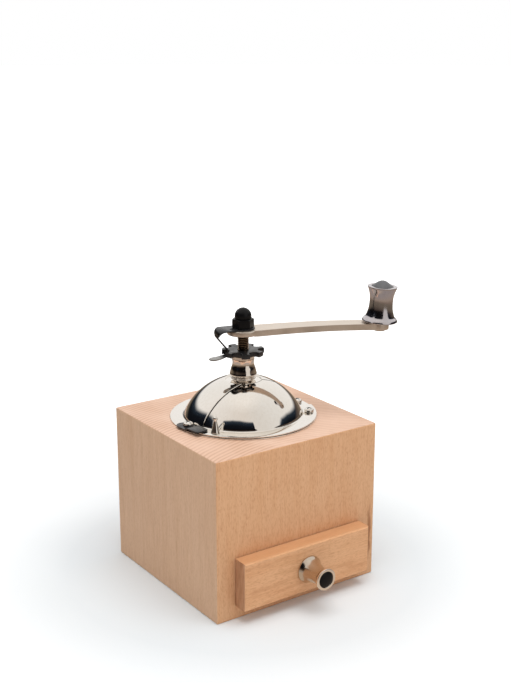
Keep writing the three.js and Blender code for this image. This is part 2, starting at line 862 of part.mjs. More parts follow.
// Helical teeth between two heights, with crest radii and a twist that run evenly from one to the other.
function helicalTeeth([bottom, bottomRadius], [top, topRadius], depth, teeth, twist, steps) {
  return lofted(Array.from({ length: steps + 1 }, (_, i) => {
    const share = i / steps;
    const crest = bottomRadius + (topRadius - bottomRadius) * share;
    return toothedSection(crest, depth, teeth, twist * share, bottom + (top - bottom) * share);
  }));
}

function conePin(clearance) {
  const length = burrConeWaistRadius;
  const height = burrConeBottom + burrFineHeight / 2;
  const pin = cylinder(conePinRadius + clearance, -length / 2 - clearance, length / 2 + clearance);
  return pin.rotateX(Math.PI / 2).translate(0, 0, height);
}

function burrCone() {
  const fine = helicalTeeth([burrConeBottom, burrConeFootRadius], [burrFineTop, burrConeWaistRadius],
    burrToothDepth, burrFineTeeth, burrFineTwist, fineSteps);
  const top = burrConeBottom + burrConeHeight;
  const flutes = helicalTeeth([burrFineTop - burrToothDepth, burrConeWaistRadius],
    [top, burrConeTipRadius], burrFluteDepth, burrFlutes, burrFluteTwist, fluteSteps);
  const bore = spindleBore(burrConeBottom, top);
  return piece("burr_cone", hardenedSteel(), cut(join(fine, flutes), bore, conePin(boreClearance)));
}

function burrRing() {
  const slope = (burrConeFootRadius - burrConeWaistRadius) / burrFineHeight;
  const below = burrConeSetback + overrun;
  const mouth = burrConeFootRadius + burrGap + burrToothDepth + slope * below;
  const waist = burrConeWaistRadius + burrGap + burrToothDepth;
  const fine = helicalTeeth([burrConeBottom - below, mouth], [burrFineTop, waist],
    burrToothDepth, burrFineTeeth, -burrFineTwist, fineSteps);
  const flutes = helicalTeeth([burrFineTop - burrToothDepth, waist + burrFluteDepth - burrToothDepth],
    [burrRingTop + overrun, waist + burrFluteDepth + burrRingFlare],
    burrFluteDepth, burrFlutes + 1, -burrFluteTwist, fluteSteps);
  const body = cylinder(burrRingRadius, burrRingBottom, burrRingTop, roundSegments);
  return piece("burr_ring", hardenedSteel(), cut(body, fine, flutes, ...millBoltHoles()));
}

function bearingBridge() {
  const low = bridgeFloor - bridgeThickness;
  const half = [
    [bridgeShelf, bridgeFloor],
    [bridgePadReach, bridgeTop],
    [burrRingRadius, bridgeTop],
    [burrRingRadius, bridgeTop - bridgeThickness],
    [bridgePadReach + bridgeThickness / 2, bridgeTop - bridgeThickness],
    [bridgeShelf + bridgeThickness / 2, low],
  ];
  const mirrored = half.map(([x, z]) => [-x, z]).reverse();
  const strap = spread(outline([...half, ...mirrored]), bridgeWidth);
  const hub = cylinder(bridgeHubRadius, low, low + bridgeHubHeight, roundSegments);
  const bore = cylinder(spindleJournalRadius + boreClearance, low - overrun, bridgeTop, roundSegments);
  return piece("bearing_bridge", plainSteel(), cut(join(strap, hub), bore, ...millBoltHoles()));
}

function millBolt(name, side) {
  const head = hopperFloor + jointLine;
  const end = bridgeTop - bridgeThickness - jointLine - millNutHeight - millBoltRadius;
  const profile = [
    [0, end],
    [millBoltRadius, end],
    [millBoltRadius, head],
    [millBoltHeadRadius, head],
    ...domed(millBoltHeadRadius, head + millBoltHeadHeight / 2, head + millBoltHeadHeight),
  ];
  const bolt = turned(profile, smallSegments).translate(side * millBoltCircle, 0, 0);
  return piece(name, plainSteel(), bolt);
}

function bridgeNut(name, side) {
  const top = bridgeTop - bridgeThickness - jointLine;
  const bottom = top - millNutHeight;
  const bore = cylinder(millBoltRadius + jointLine, bottom - overrun, top + overrun);
  const nut = cut(hexagon(millNutAcrossFlats, bottom, top), bore);
  return piece(name, plainSteel(), nut.translate(side * millBoltCircle, 0, 0));
}

// Neck, spindle and spring

function neckCollar() {
  const z = (height) => neckBottom + height;
  const [hollow, waist, shaft] = neckWaistShares.map((share) => z(neckHeight * share));
  const groove = neckTopRadius - neckGrooveDepth;
  const roll = neckRollRadius - neckRingRadius;
  const bore = spindleRadius + boreClearance;
  const profile = [
    [bore, landTop - neckTailLength],
    [neckTailRadius, landTop - neckTailLength],
    [neckTailRadius, neckBottom],
    [neckFootRadius, neckBottom],
    [neckFootRadius, z(neckRingHeight - neckRingFoot)],
    [neckRingRadius, z(neckRingHeight - neckRingHalf)],
    [neckRingRadius, z(neckRingHeight + neckRingHalf / 2)],
    [neckRingRadius - roll / 2, z(neckRingHeight + neckRingHalf)],
    ...smooth([
      [neckRingRadius, z(neckRollHeight - neckRingHalf)],
      [neckRollRadius, z(neckRollHeight)],
      [neckRollRadius - roll / 2, z(neckRollHeight + neckRingHalf)],
      [neckTopRadius + roll / 4, hollow],
      [neckTopRadius, waist],
      [neckTopRadius, shaft],
    ]),
    [groove, z(neckGrooveHeight)],
    [groove, z(neckGrooveHeight + neckGrooveWidth)],
    [neckTopRadius, z(neckGrooveHeight + neckGrooveWidth + neckGrooveEdge)],
    [neckTopRadius, neckTop],
    [bore, neckTop],
  ];
  return piece("neck_collar", polishedNickel(), turned(profile));
}

function neckNut() {
  const top = landTop - domeSheet - jointLine;
  const bottom = top - neckNutHeight;
  const bore = cylinder(neckTailRadius + jointLine, bottom - overrun, top + overrun, roundSegments);
  return piece("neck_nut", plainSteel(), cut(hexagon(neckNutAcrossFlats, bottom, top), bore));
}

function spindle() {
  const shoulder = bridgeFloor - bridgeThickness + bridgeHubHeight + spindleShoulderGap;
  const top = acornBottom + spindleNutReach;
  const rod = turned([
    [0, spindleBottom],
    [spindleJournalRadius - spindleTailChamfer, spindleBottom],
    [spindleJournalRadius, spindleBottom + spindleTailChamfer],
    [spindleJournalRadius, shoulder],
    [spindleRadius, shoulder],
    [spindleRadius, top - spindleTopChamfer],
    [spindleRadius - spindleTopChamfer, top],
    [0, top],
  ], roundSegments);
  const flats = spindleFlats(spindleFlat, hubBottom, top);
  return piece("spindle", plainSteel(), cut(rod, conePin(boreClearance), ...flats));
}

// The two slabs that leave a spindle, or a hole, with parallel flats a given distance from its middle.
function spindleFlats(distance, bottom, top) {
  const far = spindleRadius + overrun;
  return [-1, 1].map((side) => {
    const [low, high] = [side * distance, side * far].sort((a, b) => a - b);
    return cuboid([-far, low, bottom], [far, high, top + overrun]);
  });
}

// The round hole that the spindle passes through, run past both faces of the piece.
function spindleBore(bottom, top) {
  return cylinder(spindleRadius + boreClearance, bottom - overrun, top + overrun, roundSegments);
}

// The hole that fits the spindle's flats.
function driveHole(bottom, top) {
  const flats = spindleFlats(spindleFlat + boreClearance, bottom - overrun, top + overrun);
  return cut(spindleBore(bottom, top), ...flats);
}

function springCollar() {
  const top = neckBottom - springCollarBelowNeck;
  const bottom = top - springCollarHeight;
  const disc = cylinder(springCollarRadius, bottom, top, roundSegments);
  return piece("spring_collar", plainSteel(), cut(disc, spindleBore(bottom, top)));
}

// The spring is one unbroken round wire: a flat turn at each end and a helix between them.
class SpringLine extends THREE.Curve {
  constructor(bottom, top) {
    super();
    this.bottom = bottom;
    this.top = top;
  }

  getPoint(share, target = new THREE.Vector3()) {
    const turn = share * springTurns;
    const live = THREE.MathUtils.clamp((turn - 1) / (springTurns - 2), 0, 1);
    const lead = Math.min(turn, 1) + Math.max(turn - springTurns + 1, 0);
    const closing = 2 * springWireRadius + 2 * runningGap;
    const climb = lead * closing + live * (this.top - this.bottom - 2 * closing);
    const angle = turn * 2 * Math.PI;
    return target.set(
      springCoilRadius * Math.cos(angle),
      springCoilRadius * Math.sin(angle),
      this.bottom + climb,
    );
  }
}

function loadSpring() {
  const bottom = neckBottom - springCollarBelowNeck + springWireRadius + jointLine;
  const top = landTop - neckTailLength - springWireRadius - jointLine;
  const line = new SpringLine(bottom, top);
  const steps = springTurns * springStepsPerTurn;
  const rings = Array.from({ length: steps + 1 }, (_, i) => {
    const at = line.getPoint(i / steps);
    const out = new THREE.Vector3(at.x, at.y, 0).normalize();
    return Array.from({ length: springWireSides }, (_, k) => {
      const angle = (k / springWireSides) * 2 * Math.PI;
      const lift = new THREE.Vector3(0, 0, springWireRadius * Math.sin(angle));
      return at.clone().addScaledVector(out, springWireRadius * Math.cos(angle)).add(lift);
    });
  });
  reportSpringGap(line, steps);
  return piece("load_spring", plainSteel(), lofted(rings));
}

// Prints the least clear distance between one turn of the spring and the next.
function reportSpringGap(line, steps) {
  let least = Infinity;
  const points = Array.from({ length: steps + 1 }, (_, i) => line.getPoint(i / steps));
  for (let i = 0; i < points.length; i++) {
    for (let k = i + springStepsPerTurn / 2; k < points.length; k++) {
      least = Math.min(least, points[i].distanceTo(points[k]) - 2 * springWireRadius);
    }
  }
  console.log("least gap between the spring's turns: " + least.toFixed(2) + " mm");
}

// Adjusting wheel

function thrustWasher() {
  const top = washerBottom + washerThickness;
  const disc = cylinder(washerRadius, washerBottom, top, roundSegments);
  return piece("thrust_washer", plainSteel(), cut(disc, spindleBore(washerBottom, top)));
}

// The wheel's outline: a circle with round notches, the first on -X. The inset moves all of it inward.
function wheelOutline(inset) {
  const [radius, bite] = [wheelRadius - inset, notchRadius + inset];
  const reach = (radius ** 2 + notchCircle ** 2 - bite ** 2) / (2 * notchCircle);
  const lobeEdge = Math.acos(reach / radius);
  const biteEdge = Math.PI - Math.acos((reach - notchCircle) / -bite);
  const shape = new THREE.Shape();
  for (let i = 0; i < wheelNotches; i++) {
    const angle = Math.PI + (i * 2 * Math.PI) / wheelNotches;
    const next = angle + (2 * Math.PI) / wheelNotches;
    const [x, y] = [notchCircle * Math.cos(angle), notchCircle * Math.sin(angle)];
    shape.absarc(x, y, bite, angle - biteEdge, angle + biteEdge - 2 * Math.PI, true);
    shape.absarc(0, 0, radius, angle + lobeEdge, next - lobeEdge, false);
  }
  return shape;
}

function adjustingWheel() {
  const disc = raised(wheelOutline(0), wheelBottom, wheelTop);
  const below = wheelBottom - overrun;
  const hub = cylinder(wheelHubRadius, below, wheelTop, roundSegments);
  const hollow = cut(raised(wheelOutline(wheelSkirt), below, wheelTop - wheelPlate), hub);
  const seatTop = washerBottom + washerThickness + jointLine;
  const bore = spindleBore(wheelBottom, wheelTop);
  const seat = cylinder(washerRadius + runningGap, below, seatTop, roundSegments);
  const wheel = cut(disc, hollow, bore, seat).rotateZ(THREE.MathUtils.degToRad(clipSkew));
  return piece("adjusting_wheel", blackSteel(), wheel);
}

// Crank: everything in this group is drawn with the arm along +X and turned to the crank's angle.

function armTop(share) {
  return hubTop + armRise * Math.sin(((Math.PI / 2) * share) / armPeakShare);
}

function armSection(share) {
  const half = (armRootWidth + (armTipWidth - armRootWidth) * Math.sqrt(share)) / 2;
  const top = armTop(share);
  const bottom = top - armThickness;
  return [
    [-half, bottom + armEdge],
    [-half + armEdge, bottom],
    [half - armEdge, bottom],
    [half, bottom + armEdge],
    [half, top - armEdge],
    [half - armEdge, top],
    [-half + armEdge, top],
    [-half, top - armEdge],
  ].map(([y, z]) => new THREE.Vector3(armReach * share, y, z));
}

function atKnob(geometry) {
  const seat = armTop(1);
  return geometry.rotateY(THREE.MathUtils.degToRad(knobTilt)).translate(armReach, 0, seat);
}

function crankArm() {
  const hub = turned([
    [0, hubBottom],
    [hubRadius - armEdge, hubBottom],
    [hubRadius, hubBottom + armEdge],
    [hubRadius, hubTop - armEdge],
    [hubRadius - armEdge, hubTop],
    [0, hubTop],
  ]);
  const arm = lofted(Array.from({ length: armSteps + 1 }, (_, i) =>
    armSection(armStartShare + ((1 - armStartShare) * i) / armSteps)));
  const boss = turned([
    [0, -bossThickness],
    [bossRadius - armEdge, -bossThickness],
    [bossRadius, armEdge - bossThickness],
    [bossRadius, -armEdge],
    [bossRadius - armEdge, 0],
    [0, 0],
  ]);
  const axle = cylinder(axleRadius + jointLine, -bossThickness - overrun, overrun, roundSegments);
  const level = cylinder(clipEyeRadius + jointLine, hubTop, hubTop + overrun, roundSegments);
  const slot = cuboid(
    [-hubRadius - overrun, -hubSlotWidth / 2, hubBottom - overrun],
    [hubSlotDepth + clipThickness + jointLine - hubRadius, hubSlotWidth / 2, hubTop + overrun],
  );
  atTab(slot).rotateZ(THREE.MathUtils.degToRad(clipSkew));
  const body = join(hub, arm, atKnob(boss));
  const drive = driveHole(hubBottom, hubTop);
  return piece("crank_arm", castNickel(), cut(body, level, atKnob(axle), slot, drive));
}

// The tab is bent down out of the strap beside a small window, into the slot in the hub's rim.
function clipStrap() {
  const plan = new THREE.Shape();
  const half = clipWidth / 2;
  const meet = Math.asin(half / clipEyeRadius);
  plan.absarc(0, 0, clipEyeRadius, meet - Math.PI, Math.PI - meet, false);
  plan.lineTo(jointLine - clipReach, half);
  plan.lineTo(jointLine - clipReach, -half);
  const outer = hubSlotDepth + jointLine - hubRadius;
  const inner = outer + clipThickness;
  const edge = hubSlotWidth / 2 - runningGap;
  const window = cuboid(
    [outer - clipThickness, -hubSlotWidth / 2, clipBottom - overrun],
    [outer, hubSlotWidth / 2, clipTop + overrun],
  );
  const tab = cuboid([outer, -edge, clipBottom - clipTabLength], [inner, edge, clipTop]);
  const strap = cut(raised(plan, clipBottom, clipTop), atTab(window));
  const turnedStrap = join(strap, atTab(tab)).rotateZ(THREE.MathUtils.degToRad(clipSkew));
  return piece("clip_strap", blackSteel(), cut(turnedStrap, driveHole(clipBottom, clipTop)));
}

function atTab(geometry) {
  return geometry.rotateZ(THREE.MathUtils.degToRad(clipTabSkew));
}

// The leaf's middle line as [distance out, height, width]: round the bend, back in along the
// flank, down through the wheel's notch and out again into the thumb tongue.
function clipRoute() {
  const top = clipBottom + clipThickness / 2;
  const bendCentre = [clipReach, top - clipBendRadius];
  const bend = arc(bendCentre, clipBendRadius, 90, 0, clipBendSteps).map(([out, z], i) =>
    [out, z, THREE.MathUtils.lerp(clipWidth, clipWaist, bendTaperShares[i])]);
  const [legOut, legEnd] = [clipReach + clipBendRadius, bendCentre[1] - clipLegDrop];
  const notchTop = wheelTop + clipThickness;
  const notchMiddle = wheelTop - wheelHeight / 2;
  const tongueTop = wheelBottom - clipThickness;
  const tip = clipTongueWidth * tongueTipShare;
  const flankDrop = tongueTop - clipTongueDrop * tongueTipShare;
  return [
    ...bend,
    [legOut, legEnd, THREE.MathUtils.lerp(clipWidth, clipWaist, legTaperShare)],
    [(legOut + clipLeafInset) / 2, (legEnd + notchTop) / 2, clipWaist],
    [clipLeafInset, notchTop, clipWaist],
    [clipLeafInset, notchMiddle, clipWaist],
    [clipLeafInset + clipThickness, wheelBottom, clipWaist],
    [(clipLeafInset + clipTongueReach) / 2, flankDrop, clipTongueWidth],
    [clipTongueReach - tip, wheelBottom - clipTongueDrop, clipTongueWidth],
    [clipTongueReach, wheelBottom - clipTongueDrop, tip],
  ];
}

function clipLeaf() {
  const route = clipRoute();
  const curveOf = (points) => new THREE.CatmullRomCurve3(points, false, "centripetal");
  const line = curveOf(route.map(([out, z]) => new THREE.Vector3(-out, 0, z)));
  const widths = route.map(([, , width]) => width);
  const across = new THREE.Vector3(0, 1, 0);
  const sections = Array.from({ length: clipSteps + 1 }, (_, i) => {
    const share = i / clipSteps;
    const at = line.getPoint(share);
    const along = line.getTangent(share);
    const thick = new THREE.Vector3().crossVectors(across, along).setLength(clipThickness / 2);
    const place = share * (route.length - 1);
    const before = Math.min(Math.floor(place), route.length - 2);
    const half = THREE.MathUtils.lerp(widths[before], widths[before + 1], place - before) / 2;
    return [[-1, -1], [1, -1], [1, 1], [-1, 1]].map(([side, face]) =>
      at.clone().addScaledVector(across, side * half).addScaledVector(thick, face));
  });
  const leaf = lofted(sections).rotateZ(THREE.MathUtils.degToRad(clipSkew));
  return piece("clip_leaf", blackSteel(), leaf);
}

function acornNut() {
  const hex = hexagon(acornAcrossFlats, acornBottom, acornBottom + acornHexHeight);
  const shoulder = acornBottom + acornHexHeight;
  const straight = acornHeight - acornHexHeight - acornDomeRadius;
  const domeFoot = shoulder + Math.max(straight, 0);
  const crown = turned([
    [0, acornBottom + jointLine],
    [acornDomeRadius, acornBottom + jointLine],
    [acornDomeRadius, domeFoot],
    ...domed(acornDomeRadius, domeFoot, acornBottom + acornHeight, curveSteps),
  ]);
  const bore = cylinder(spindleRadius + boreClearance, acornBottom - overrun,
    acornBottom + spindleNutReach + runningGap, roundSegments);
  return piece("acorn_nut", blackPlastic(), cut(join(hex, crown), bore));
}

function knobAxle() {
  const headBottom = knobHeight - knobCounterboreDepth - knobRecess + runningGap;
  const foot = -bossThickness - jointLine;
  const pin = turned([
    ...domed(axleHeadRadius, foot - axleHeadHeight / 2, foot - axleHeadHeight).reverse(),
    [axleHeadRadius, foot],
    [axleRadius, foot],
    [axleRadius, headBottom],
    [axleHeadRadius, headBottom],
    [axleHeadRadius, headBottom + axleHeadHeight],
    [0, headBottom + axleHeadHeight],
  ]);
  return piece("knob_axle", plainSteel(), atKnob(pin));
}

function crankKnob() {
  const recess = knobRimRadius - knobRimWidth;
  const shelf = knobHeight - knobRecess;
  const [lip, widest, flare, waist, neck, rim] = knobHeightShares.map((share) => knobHeight * share);
  const profile = [
    [knobBoreRadius, runningGap],
    [knobFootRadius * knobLipShare, runningGap],
    ...smooth([
      [knobFootRadius, lip],
      [knobFootRadius * knobWidestShare, widest],
      [knobFootRadius * knobFlareShare, flare],
      [knobWaistRadius, waist],
      [knobRimRadius * knobNeckShare, neck],
      [knobRimRadius, rim],
    ]),
    [knobRimRadius, knobHeight],
    [recess, knobHeight],
    [recess, shelf],
    [knobCounterbore, shelf],
    [knobCounterbore, shelf - knobCounterboreDepth],
    [knobBoreRadius, shelf - knobCounterboreDepth],
  ];
  return piece("crank_knob", polishedNickel(), atKnob(turned(profile)));
}

function knobCap() {
  const radius = knobRimRadius - knobRimWidth - jointLine;
  const bottom = knobHeight - knobRecess + jointLine;
  const crown = domed(radius, knobHeight, knobHeight + knobCapRise);
  const profile = [[0, bottom], [radius, bottom], ...crown];
  return piece("knob_cap", greyPlastic(), atKnob(turned(profile)));
}

function crank() {
  const group = new THREE.Group();
  group.rotation.z = THREE.MathUtils.degToRad(crankAngle);
  group.add(thrustWasher(), adjustingWheel());
  group.add(spindle(), burrCone(), springCollar(), loadSpring());
  group.add(piece("cone_pin", plainSteel(), conePin(0)));
  group.add(crankArm(), clipStrap(), clipLeaf(), acornNut());
  group.add(knobAxle(), crankKnob(), knobCap());
  return group;
}

function box() {
  const group = new THREE.Group();
  group.add(wall("front_board", boxWidth, boxDepth / 2, 0, drawerOpening()));
  group.add(wall("right_board", boxDepth, boxWidth / 2, 1));
  group.add(wall("back_board", boxWidth, boxDepth / 2, 2));
  group.add(wall("left_board", boxDepth, boxWidth / 2, 3));
  group.add(topBoard(), bottomBoard());
  group.add(runner("drawer_runner_left", -1), runner("drawer_runner_right", 1));
  return group;
}

function mechanism() {
  const group = new THREE.Group();
  group.add(hopper(), burrRing(), bearingBridge(), neckCollar(), neckNut());
  for (const [hand, side] of [["left", -1], ["right", 1]]) {
    group.add(millBolt("mill_bolt_" + hand, side), bridgeNut("bridge_nut_" + hand, side));
  }
  return group;
}

function dome() {
  const group = new THREE.Group();
  group.add(rearDome(), latchPlate());
  group.add(ringScrew("latch_screw", latchScrewAngle, ringTop + jointLine + latchThickness));
  group.add(ringScrew("ring_screw_right", rightScrewAngle, ringTop));
  group.add(ringScrew("ring_screw_rear", rearScrewAngle, ringTop));
  group.add(ringScrew("door_pivot_screw", pivotScrewAngle, doorFlangeTop));
  group.add(domeDoor(), pullPin());
  return group;
}

const group = new THREE.Group();
group.add(box(), drawer(), mechanism(), dome(), crank());

export default group;
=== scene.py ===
"""Looks of a hand-cranked box mill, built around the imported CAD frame.

The file is laid out as an add-on: property groups hold the sizes and colours, each operator makes
one piece or a group of like pieces, and main() calls them in order. Metres, +Z up, the drawer
faces -Y, and the origin is the centre of the box's underside.
"""
import math

import bmesh
import bpy
from bpy.props import FloatProperty, FloatVectorProperty, IntProperty, PointerProperty
from mathutils import Matrix, Vector


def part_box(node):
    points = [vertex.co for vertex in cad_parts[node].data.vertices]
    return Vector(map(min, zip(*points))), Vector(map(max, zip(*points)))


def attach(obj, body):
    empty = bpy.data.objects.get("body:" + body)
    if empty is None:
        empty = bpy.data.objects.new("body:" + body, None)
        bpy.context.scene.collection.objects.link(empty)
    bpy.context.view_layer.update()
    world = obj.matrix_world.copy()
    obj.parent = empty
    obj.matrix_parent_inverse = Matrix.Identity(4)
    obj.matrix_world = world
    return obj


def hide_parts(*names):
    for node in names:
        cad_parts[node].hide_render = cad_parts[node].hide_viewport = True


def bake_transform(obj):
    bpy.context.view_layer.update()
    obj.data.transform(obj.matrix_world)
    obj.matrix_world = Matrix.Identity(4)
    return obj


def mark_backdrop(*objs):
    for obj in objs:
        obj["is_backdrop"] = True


bl_info = {
    "name": "Box mill",
    "version": (1, 0, 0),
    "blender": (4, 5, 0),
    "location": "3D View > Sidebar > Box mill",
    "description": "Builds the pieces, finishes and stage of a hand-cranked box mill",
    "category": "Add Mesh",
}

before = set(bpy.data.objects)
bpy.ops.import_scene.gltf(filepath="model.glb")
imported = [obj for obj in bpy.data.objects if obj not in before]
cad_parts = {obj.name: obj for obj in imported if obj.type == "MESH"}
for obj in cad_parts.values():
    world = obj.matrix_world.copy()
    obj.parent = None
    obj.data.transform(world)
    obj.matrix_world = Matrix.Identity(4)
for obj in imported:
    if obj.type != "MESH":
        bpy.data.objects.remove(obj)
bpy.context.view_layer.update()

MM = 0.001
MERGE = 0.002 * MM
OVERRUN = 5 * MM
JOINT = 0.1 * MM
GAP = 0.3 * MM
FULL_TURN = 2 * math.pi
QUARTER = math.pi / 2
EDGE_ANGLE = math.radians(35)
BLUNT_ANGLE = math.radians(40)
CUT_ANGLE = math.radians(50)
# Steps round a turned piece, from a small one to the crank's knob.
SMALL_STEPS, ROUND_STEPS, HUB_STEPS, WIDE_STEPS, KNOB_STEPS = 48, 64, 72, 96, 128
FINISH = {}


# Selecting and shaping


def only(piece):
    """Leaves edit mode, and selects this object alone."""
    if bpy.context.object and bpy.context.object.mode != "OBJECT":
        bpy.ops.object.mode_set(mode="OBJECT")
    bpy.ops.object.select_all(action="DESELECT")
    piece.select_set(True)
    bpy.context.view_layer.objects.active = piece
    return piece


def select_nothing():
    if bpy.context.object:
        only(bpy.context.object)
    bpy.ops.object.select_all(action="DESELECT")


def edit(piece):
    only(piece)
    bpy.ops.object.mode_set(mode="EDIT")
    bpy.ops.mesh.select_mode(type="VERT")
    bpy.ops.mesh.select_all(action="SELECT")
    return piece


def done(piece):
    bpy.ops.object.mode_set(mode="OBJECT")
    return piece


def choose(piece, kind, test):
    """In edit mode, selects the edges or faces that pass the test, and nothing else."""
    bpy.ops.mesh.select_mode(type=kind)
    bpy.ops.mesh.select_all(action="DESELECT")
    mesh = bmesh.from_edit_mesh(piece.data)
    parts = {"EDGE": mesh.edges, "FACE": mesh.faces}[kind]
    for part in parts:
        if test(part):
            part.select_set(True)
    mesh.select_flush_mode()
    bmesh.update_edit_mesh(piece.data)


def extrude(step):
    """In edit mode, draws what is selected out by a step."""
    bpy.ops.mesh.extrude_region_move(TRANSFORM_OT_translate={"value": step})


def close_up(piece):
    """Merges doubles and turns every face outwards."""
    edit(piece)
    bpy.ops.mesh.remove_doubles(threshold=MERGE)
    bpy.ops.mesh.normals_make_consistent(inside=False)
    return done(piece)


def apply_place(piece, place=(0, 0, 0), turn=(0, 0, 0)):
    """Turns the piece about the origin, moves it, and puts both into its mesh."""
    only(piece)
    piece.location = place
    piece.rotation_euler = turn
    bpy.ops.object.transform_apply(location=True, rotation=True, scale=True)
    return piece


def turned(piece, angle):
    """Turns the piece about the spindle's axis."""
    return apply_place(piece, turn=(0, 0, angle))


def drawn(places, closed=False):
    """A line made by extruding one vertex from place to place."""
    select_nothing()
    bpy.ops.mesh.primitive_plane_add(size=MM)
    piece = edit(bpy.context.object)
    bpy.ops.mesh.merge(type="CENTER")
    points = [Vector(place) for place in places]
    bpy.ops.transform.translate(value=points[0])
    for before, after in zip(points, points[1:]):
        extrude(after - before)
    if closed:
        bpy.ops.mesh.select_all(action="SELECT")
        bpy.ops.mesh.edge_face_add()
    return done(piece)


def spun(profile, steps, loop=False):
    """A profile of (radius, height) places turned about the vertical axis."""
    places = [(radius, 0, height) for radius, height in profile]
    if loop:
        places.append(places[0])
    piece = edit(drawn(places))
    bpy.ops.mesh.spin(steps=steps, angle=FULL_TURN, center=(0, 0, 0), axis=(0, 0, 1))
    done(piece)
    return close_up(piece)


def prism(outline, bottom, top):
    """An outline in plan, filled and raised from one height to another."""
    piece = edit(drawn([(x, y, bottom) for x, y in outline], closed=True))
    extrude((0, 0, top - bottom))
    done(piece)
    return close_up(piece)


def block(low, high):
    """A cuboid between two corners, as a start for planed or cut pieces."""
    select_nothing()
    low, high = Vector(low), Vector(high)
    bpy.ops.mesh.primitive_cube_add(size=1, location=(low + high) / 2, scale=high - low)
    piece = bpy.context.object
    bpy.ops.object.transform_apply(location=True, rotation=True, scale=True)
    return piece


def rod(radius, bottom, top, sides=SMALL_STEPS):
    return spun([(0, bottom), (radius, bottom), (radius, top), (0, top)], sides)


def modified(piece, kind, **settings):
    """Adds a modifier with its settings, and applies it."""
    only(piece)
    modifier = piece.modifiers.new(kind, kind)
    for key, value in settings.items():
        setattr(modifier, key, value)
    bpy.ops.object.modifier_apply(modifier=modifier.name)
    return piece


def combine(piece, other, how="DIFFERENCE"):
    """Cuts, joins or intersects with another piece, which is used up."""
    modified(piece, "BOOLEAN", operation=how, solver="EXACT", object=other)
    bpy.data.objects.remove(other)
    return piece


def eased(piece, width, segments=2, angle=EDGE_ANGLE):
    """Rounds the edges that are sharper than the angle."""
    return modified(piece, "BEVEL", width=width, segments=segments, limit_method="ANGLE",
                    angle_limit=angle, use_clamp_overlap=True)


def bevelled(piece, width, segments):
    """Rounds every edge."""
    edit(piece)
    bpy.ops.mesh.bevel(offset=width, segments=segments, affect="EDGES")
    return done(piece)


def sliced(piece, point, normal):
    """Cuts away what lies on the normal's side of a plane, and closes the cut."""
    edit(piece)
    bpy.ops.mesh.bisect(plane_co=point, plane_no=normal, use_fill=True, clear_outer=True)
    return done(piece)


def merged_copy(node):
    """A welded copy of a CAD node, for forms that are already right."""
    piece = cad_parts[node].copy()
    piece.data = piece.data.copy()
    bpy.context.scene.collection.objects.link(piece)
    piece.parent = None
    for key in list(piece.keys()):
        del piece[key]
    edit(piece)
    bpy.ops.mesh.remove_doubles(threshold=MERGE)
    bpy.ops.mesh.delete_loose()
    return done(piece)


def dressed(piece, name, finish, body, slot, *nodes, angle=35):
    """Names the piece, gives it its finish, and lets it stand for its CAD nodes on their body.
    A piece given no body is left unattached."""
    piece.name = name
    piece.data.name = name
    piece.data.materials.clear()
    piece.data.materials.append(FINISH[finish])
    only(piece)
    bpy.ops.object.shade_smooth_by_angle(angle=math.radians(angle))
    if body:
        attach(piece, body)
    if nodes:
        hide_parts(*nodes)
    return piece


def arc(centre, radius, start, end, steps):
    """Points of a circular arc, with its angles in degrees."""
    points = []
    for i in range(steps + 1):
        angle = math.radians(start + (end - start) * i / steps)
        points.append((centre[0] + radius * math.cos(angle), centre[1] + radius * math.sin(angle)))
    return points


def corner(reach, height, curve, start, steps=4):
    """A quarter circle in place of a profile's sharp corner. It starts at an angle in degrees."""
    middle = math.radians(start + 45)
    centre = (reach - math.copysign(curve, math.cos(middle)),
              height - math.copysign(curve, math.sin(middle)))
    return arc(centre, curve, start, start + 90, steps)


def smooth(places, steps=10):
    """Points of a smooth curve through the given places, with equal steps between each pair."""
    ends = [places[0], *places, places[-1]]
    points = [tuple(places[0])]
    for before, a, b, after in zip(ends, ends[1:], ends[2:], ends[3:]):
        for i in range(1, steps + 1):
            t = i / steps
            points.append(tuple(
                (2 * q + (r - p) * t + (2 * p - 5 * q + 4 * r - s) * t**2
                 + (3 * q - p - 3 * r + s) * t**3) / 2
                for p, q, r, s in zip(before, a, b, after)
            ))
    return points


def crown(radius, rim, top, steps=14):
    """The (radius, height) points of a domed end, from its rim to the axis."""
    points = []
    for i in range(steps + 1):
        angle = QUARTER * i / steps
        reach = radius * math.cos(angle) if i < steps else 0
        points.append((reach, rim + (top - rim) * math.sin(angle)))
    return points


def scaled(shares, reach, height):
    """(radius, height) places from their shares of a radius and of a height."""
    return [(share * reach, rise * height) for share, rise in shares]


# Finishes

# Of beech: lumps (across, along) the grain.
BANDS = (11 * MM, 190 * MM)
PORES = (0.6 * MM, 14 * MM)
FLECKS = (0.6 * MM, 2.6 * MM)
CLOUDS = (30 * MM, 70 * MM)
# Of the growth mark on the front: its centre, half its size, and how it wanders.
STREAK_CENTRE = (60.6 * MM, -65 * MM, 31.5 * MM)
STREAK_HALF = (2.1 * MM, 9 * MM, 24 * MM)
STREAK_WANDER = (40 * MM, 40 * MM, 9 * MM)
STREAK_SWAY = 0.8 * MM
# Of the drawer's panel: its waves, the layers of its end grain, and where that and the top's
# painted shade begin.
PANEL_WAVES = (26 * MM, 8 * MM, 4.2 * MM)
PANEL_LAYERS = (8 * MM, 1.1 * MM, 9 * MM)
END_FROM, END_TO = 0.5 * MM, 0.1 * MM
# Of the lid: where its growth rings have their heart, and how far apart they lie.
RING_HEART = (-13 * MM, -152 * MM)
RING_SPACING = 3.3 * MM
# How far apart the wave texture puts its rings at a scale of one, in metres.
WAVE_SPACING = FULL_TURN / 20
LID_CLOUDS = (22 * MM, 34 * MM, 30 * MM)
LID_SPECKS = (0.6 * MM, 0.6 * MM, 4 * MM)
WOOD_BUMP = 0.08 * MM
WOOD_IOR = 1.5
WOOD_SPECULAR = 0.35
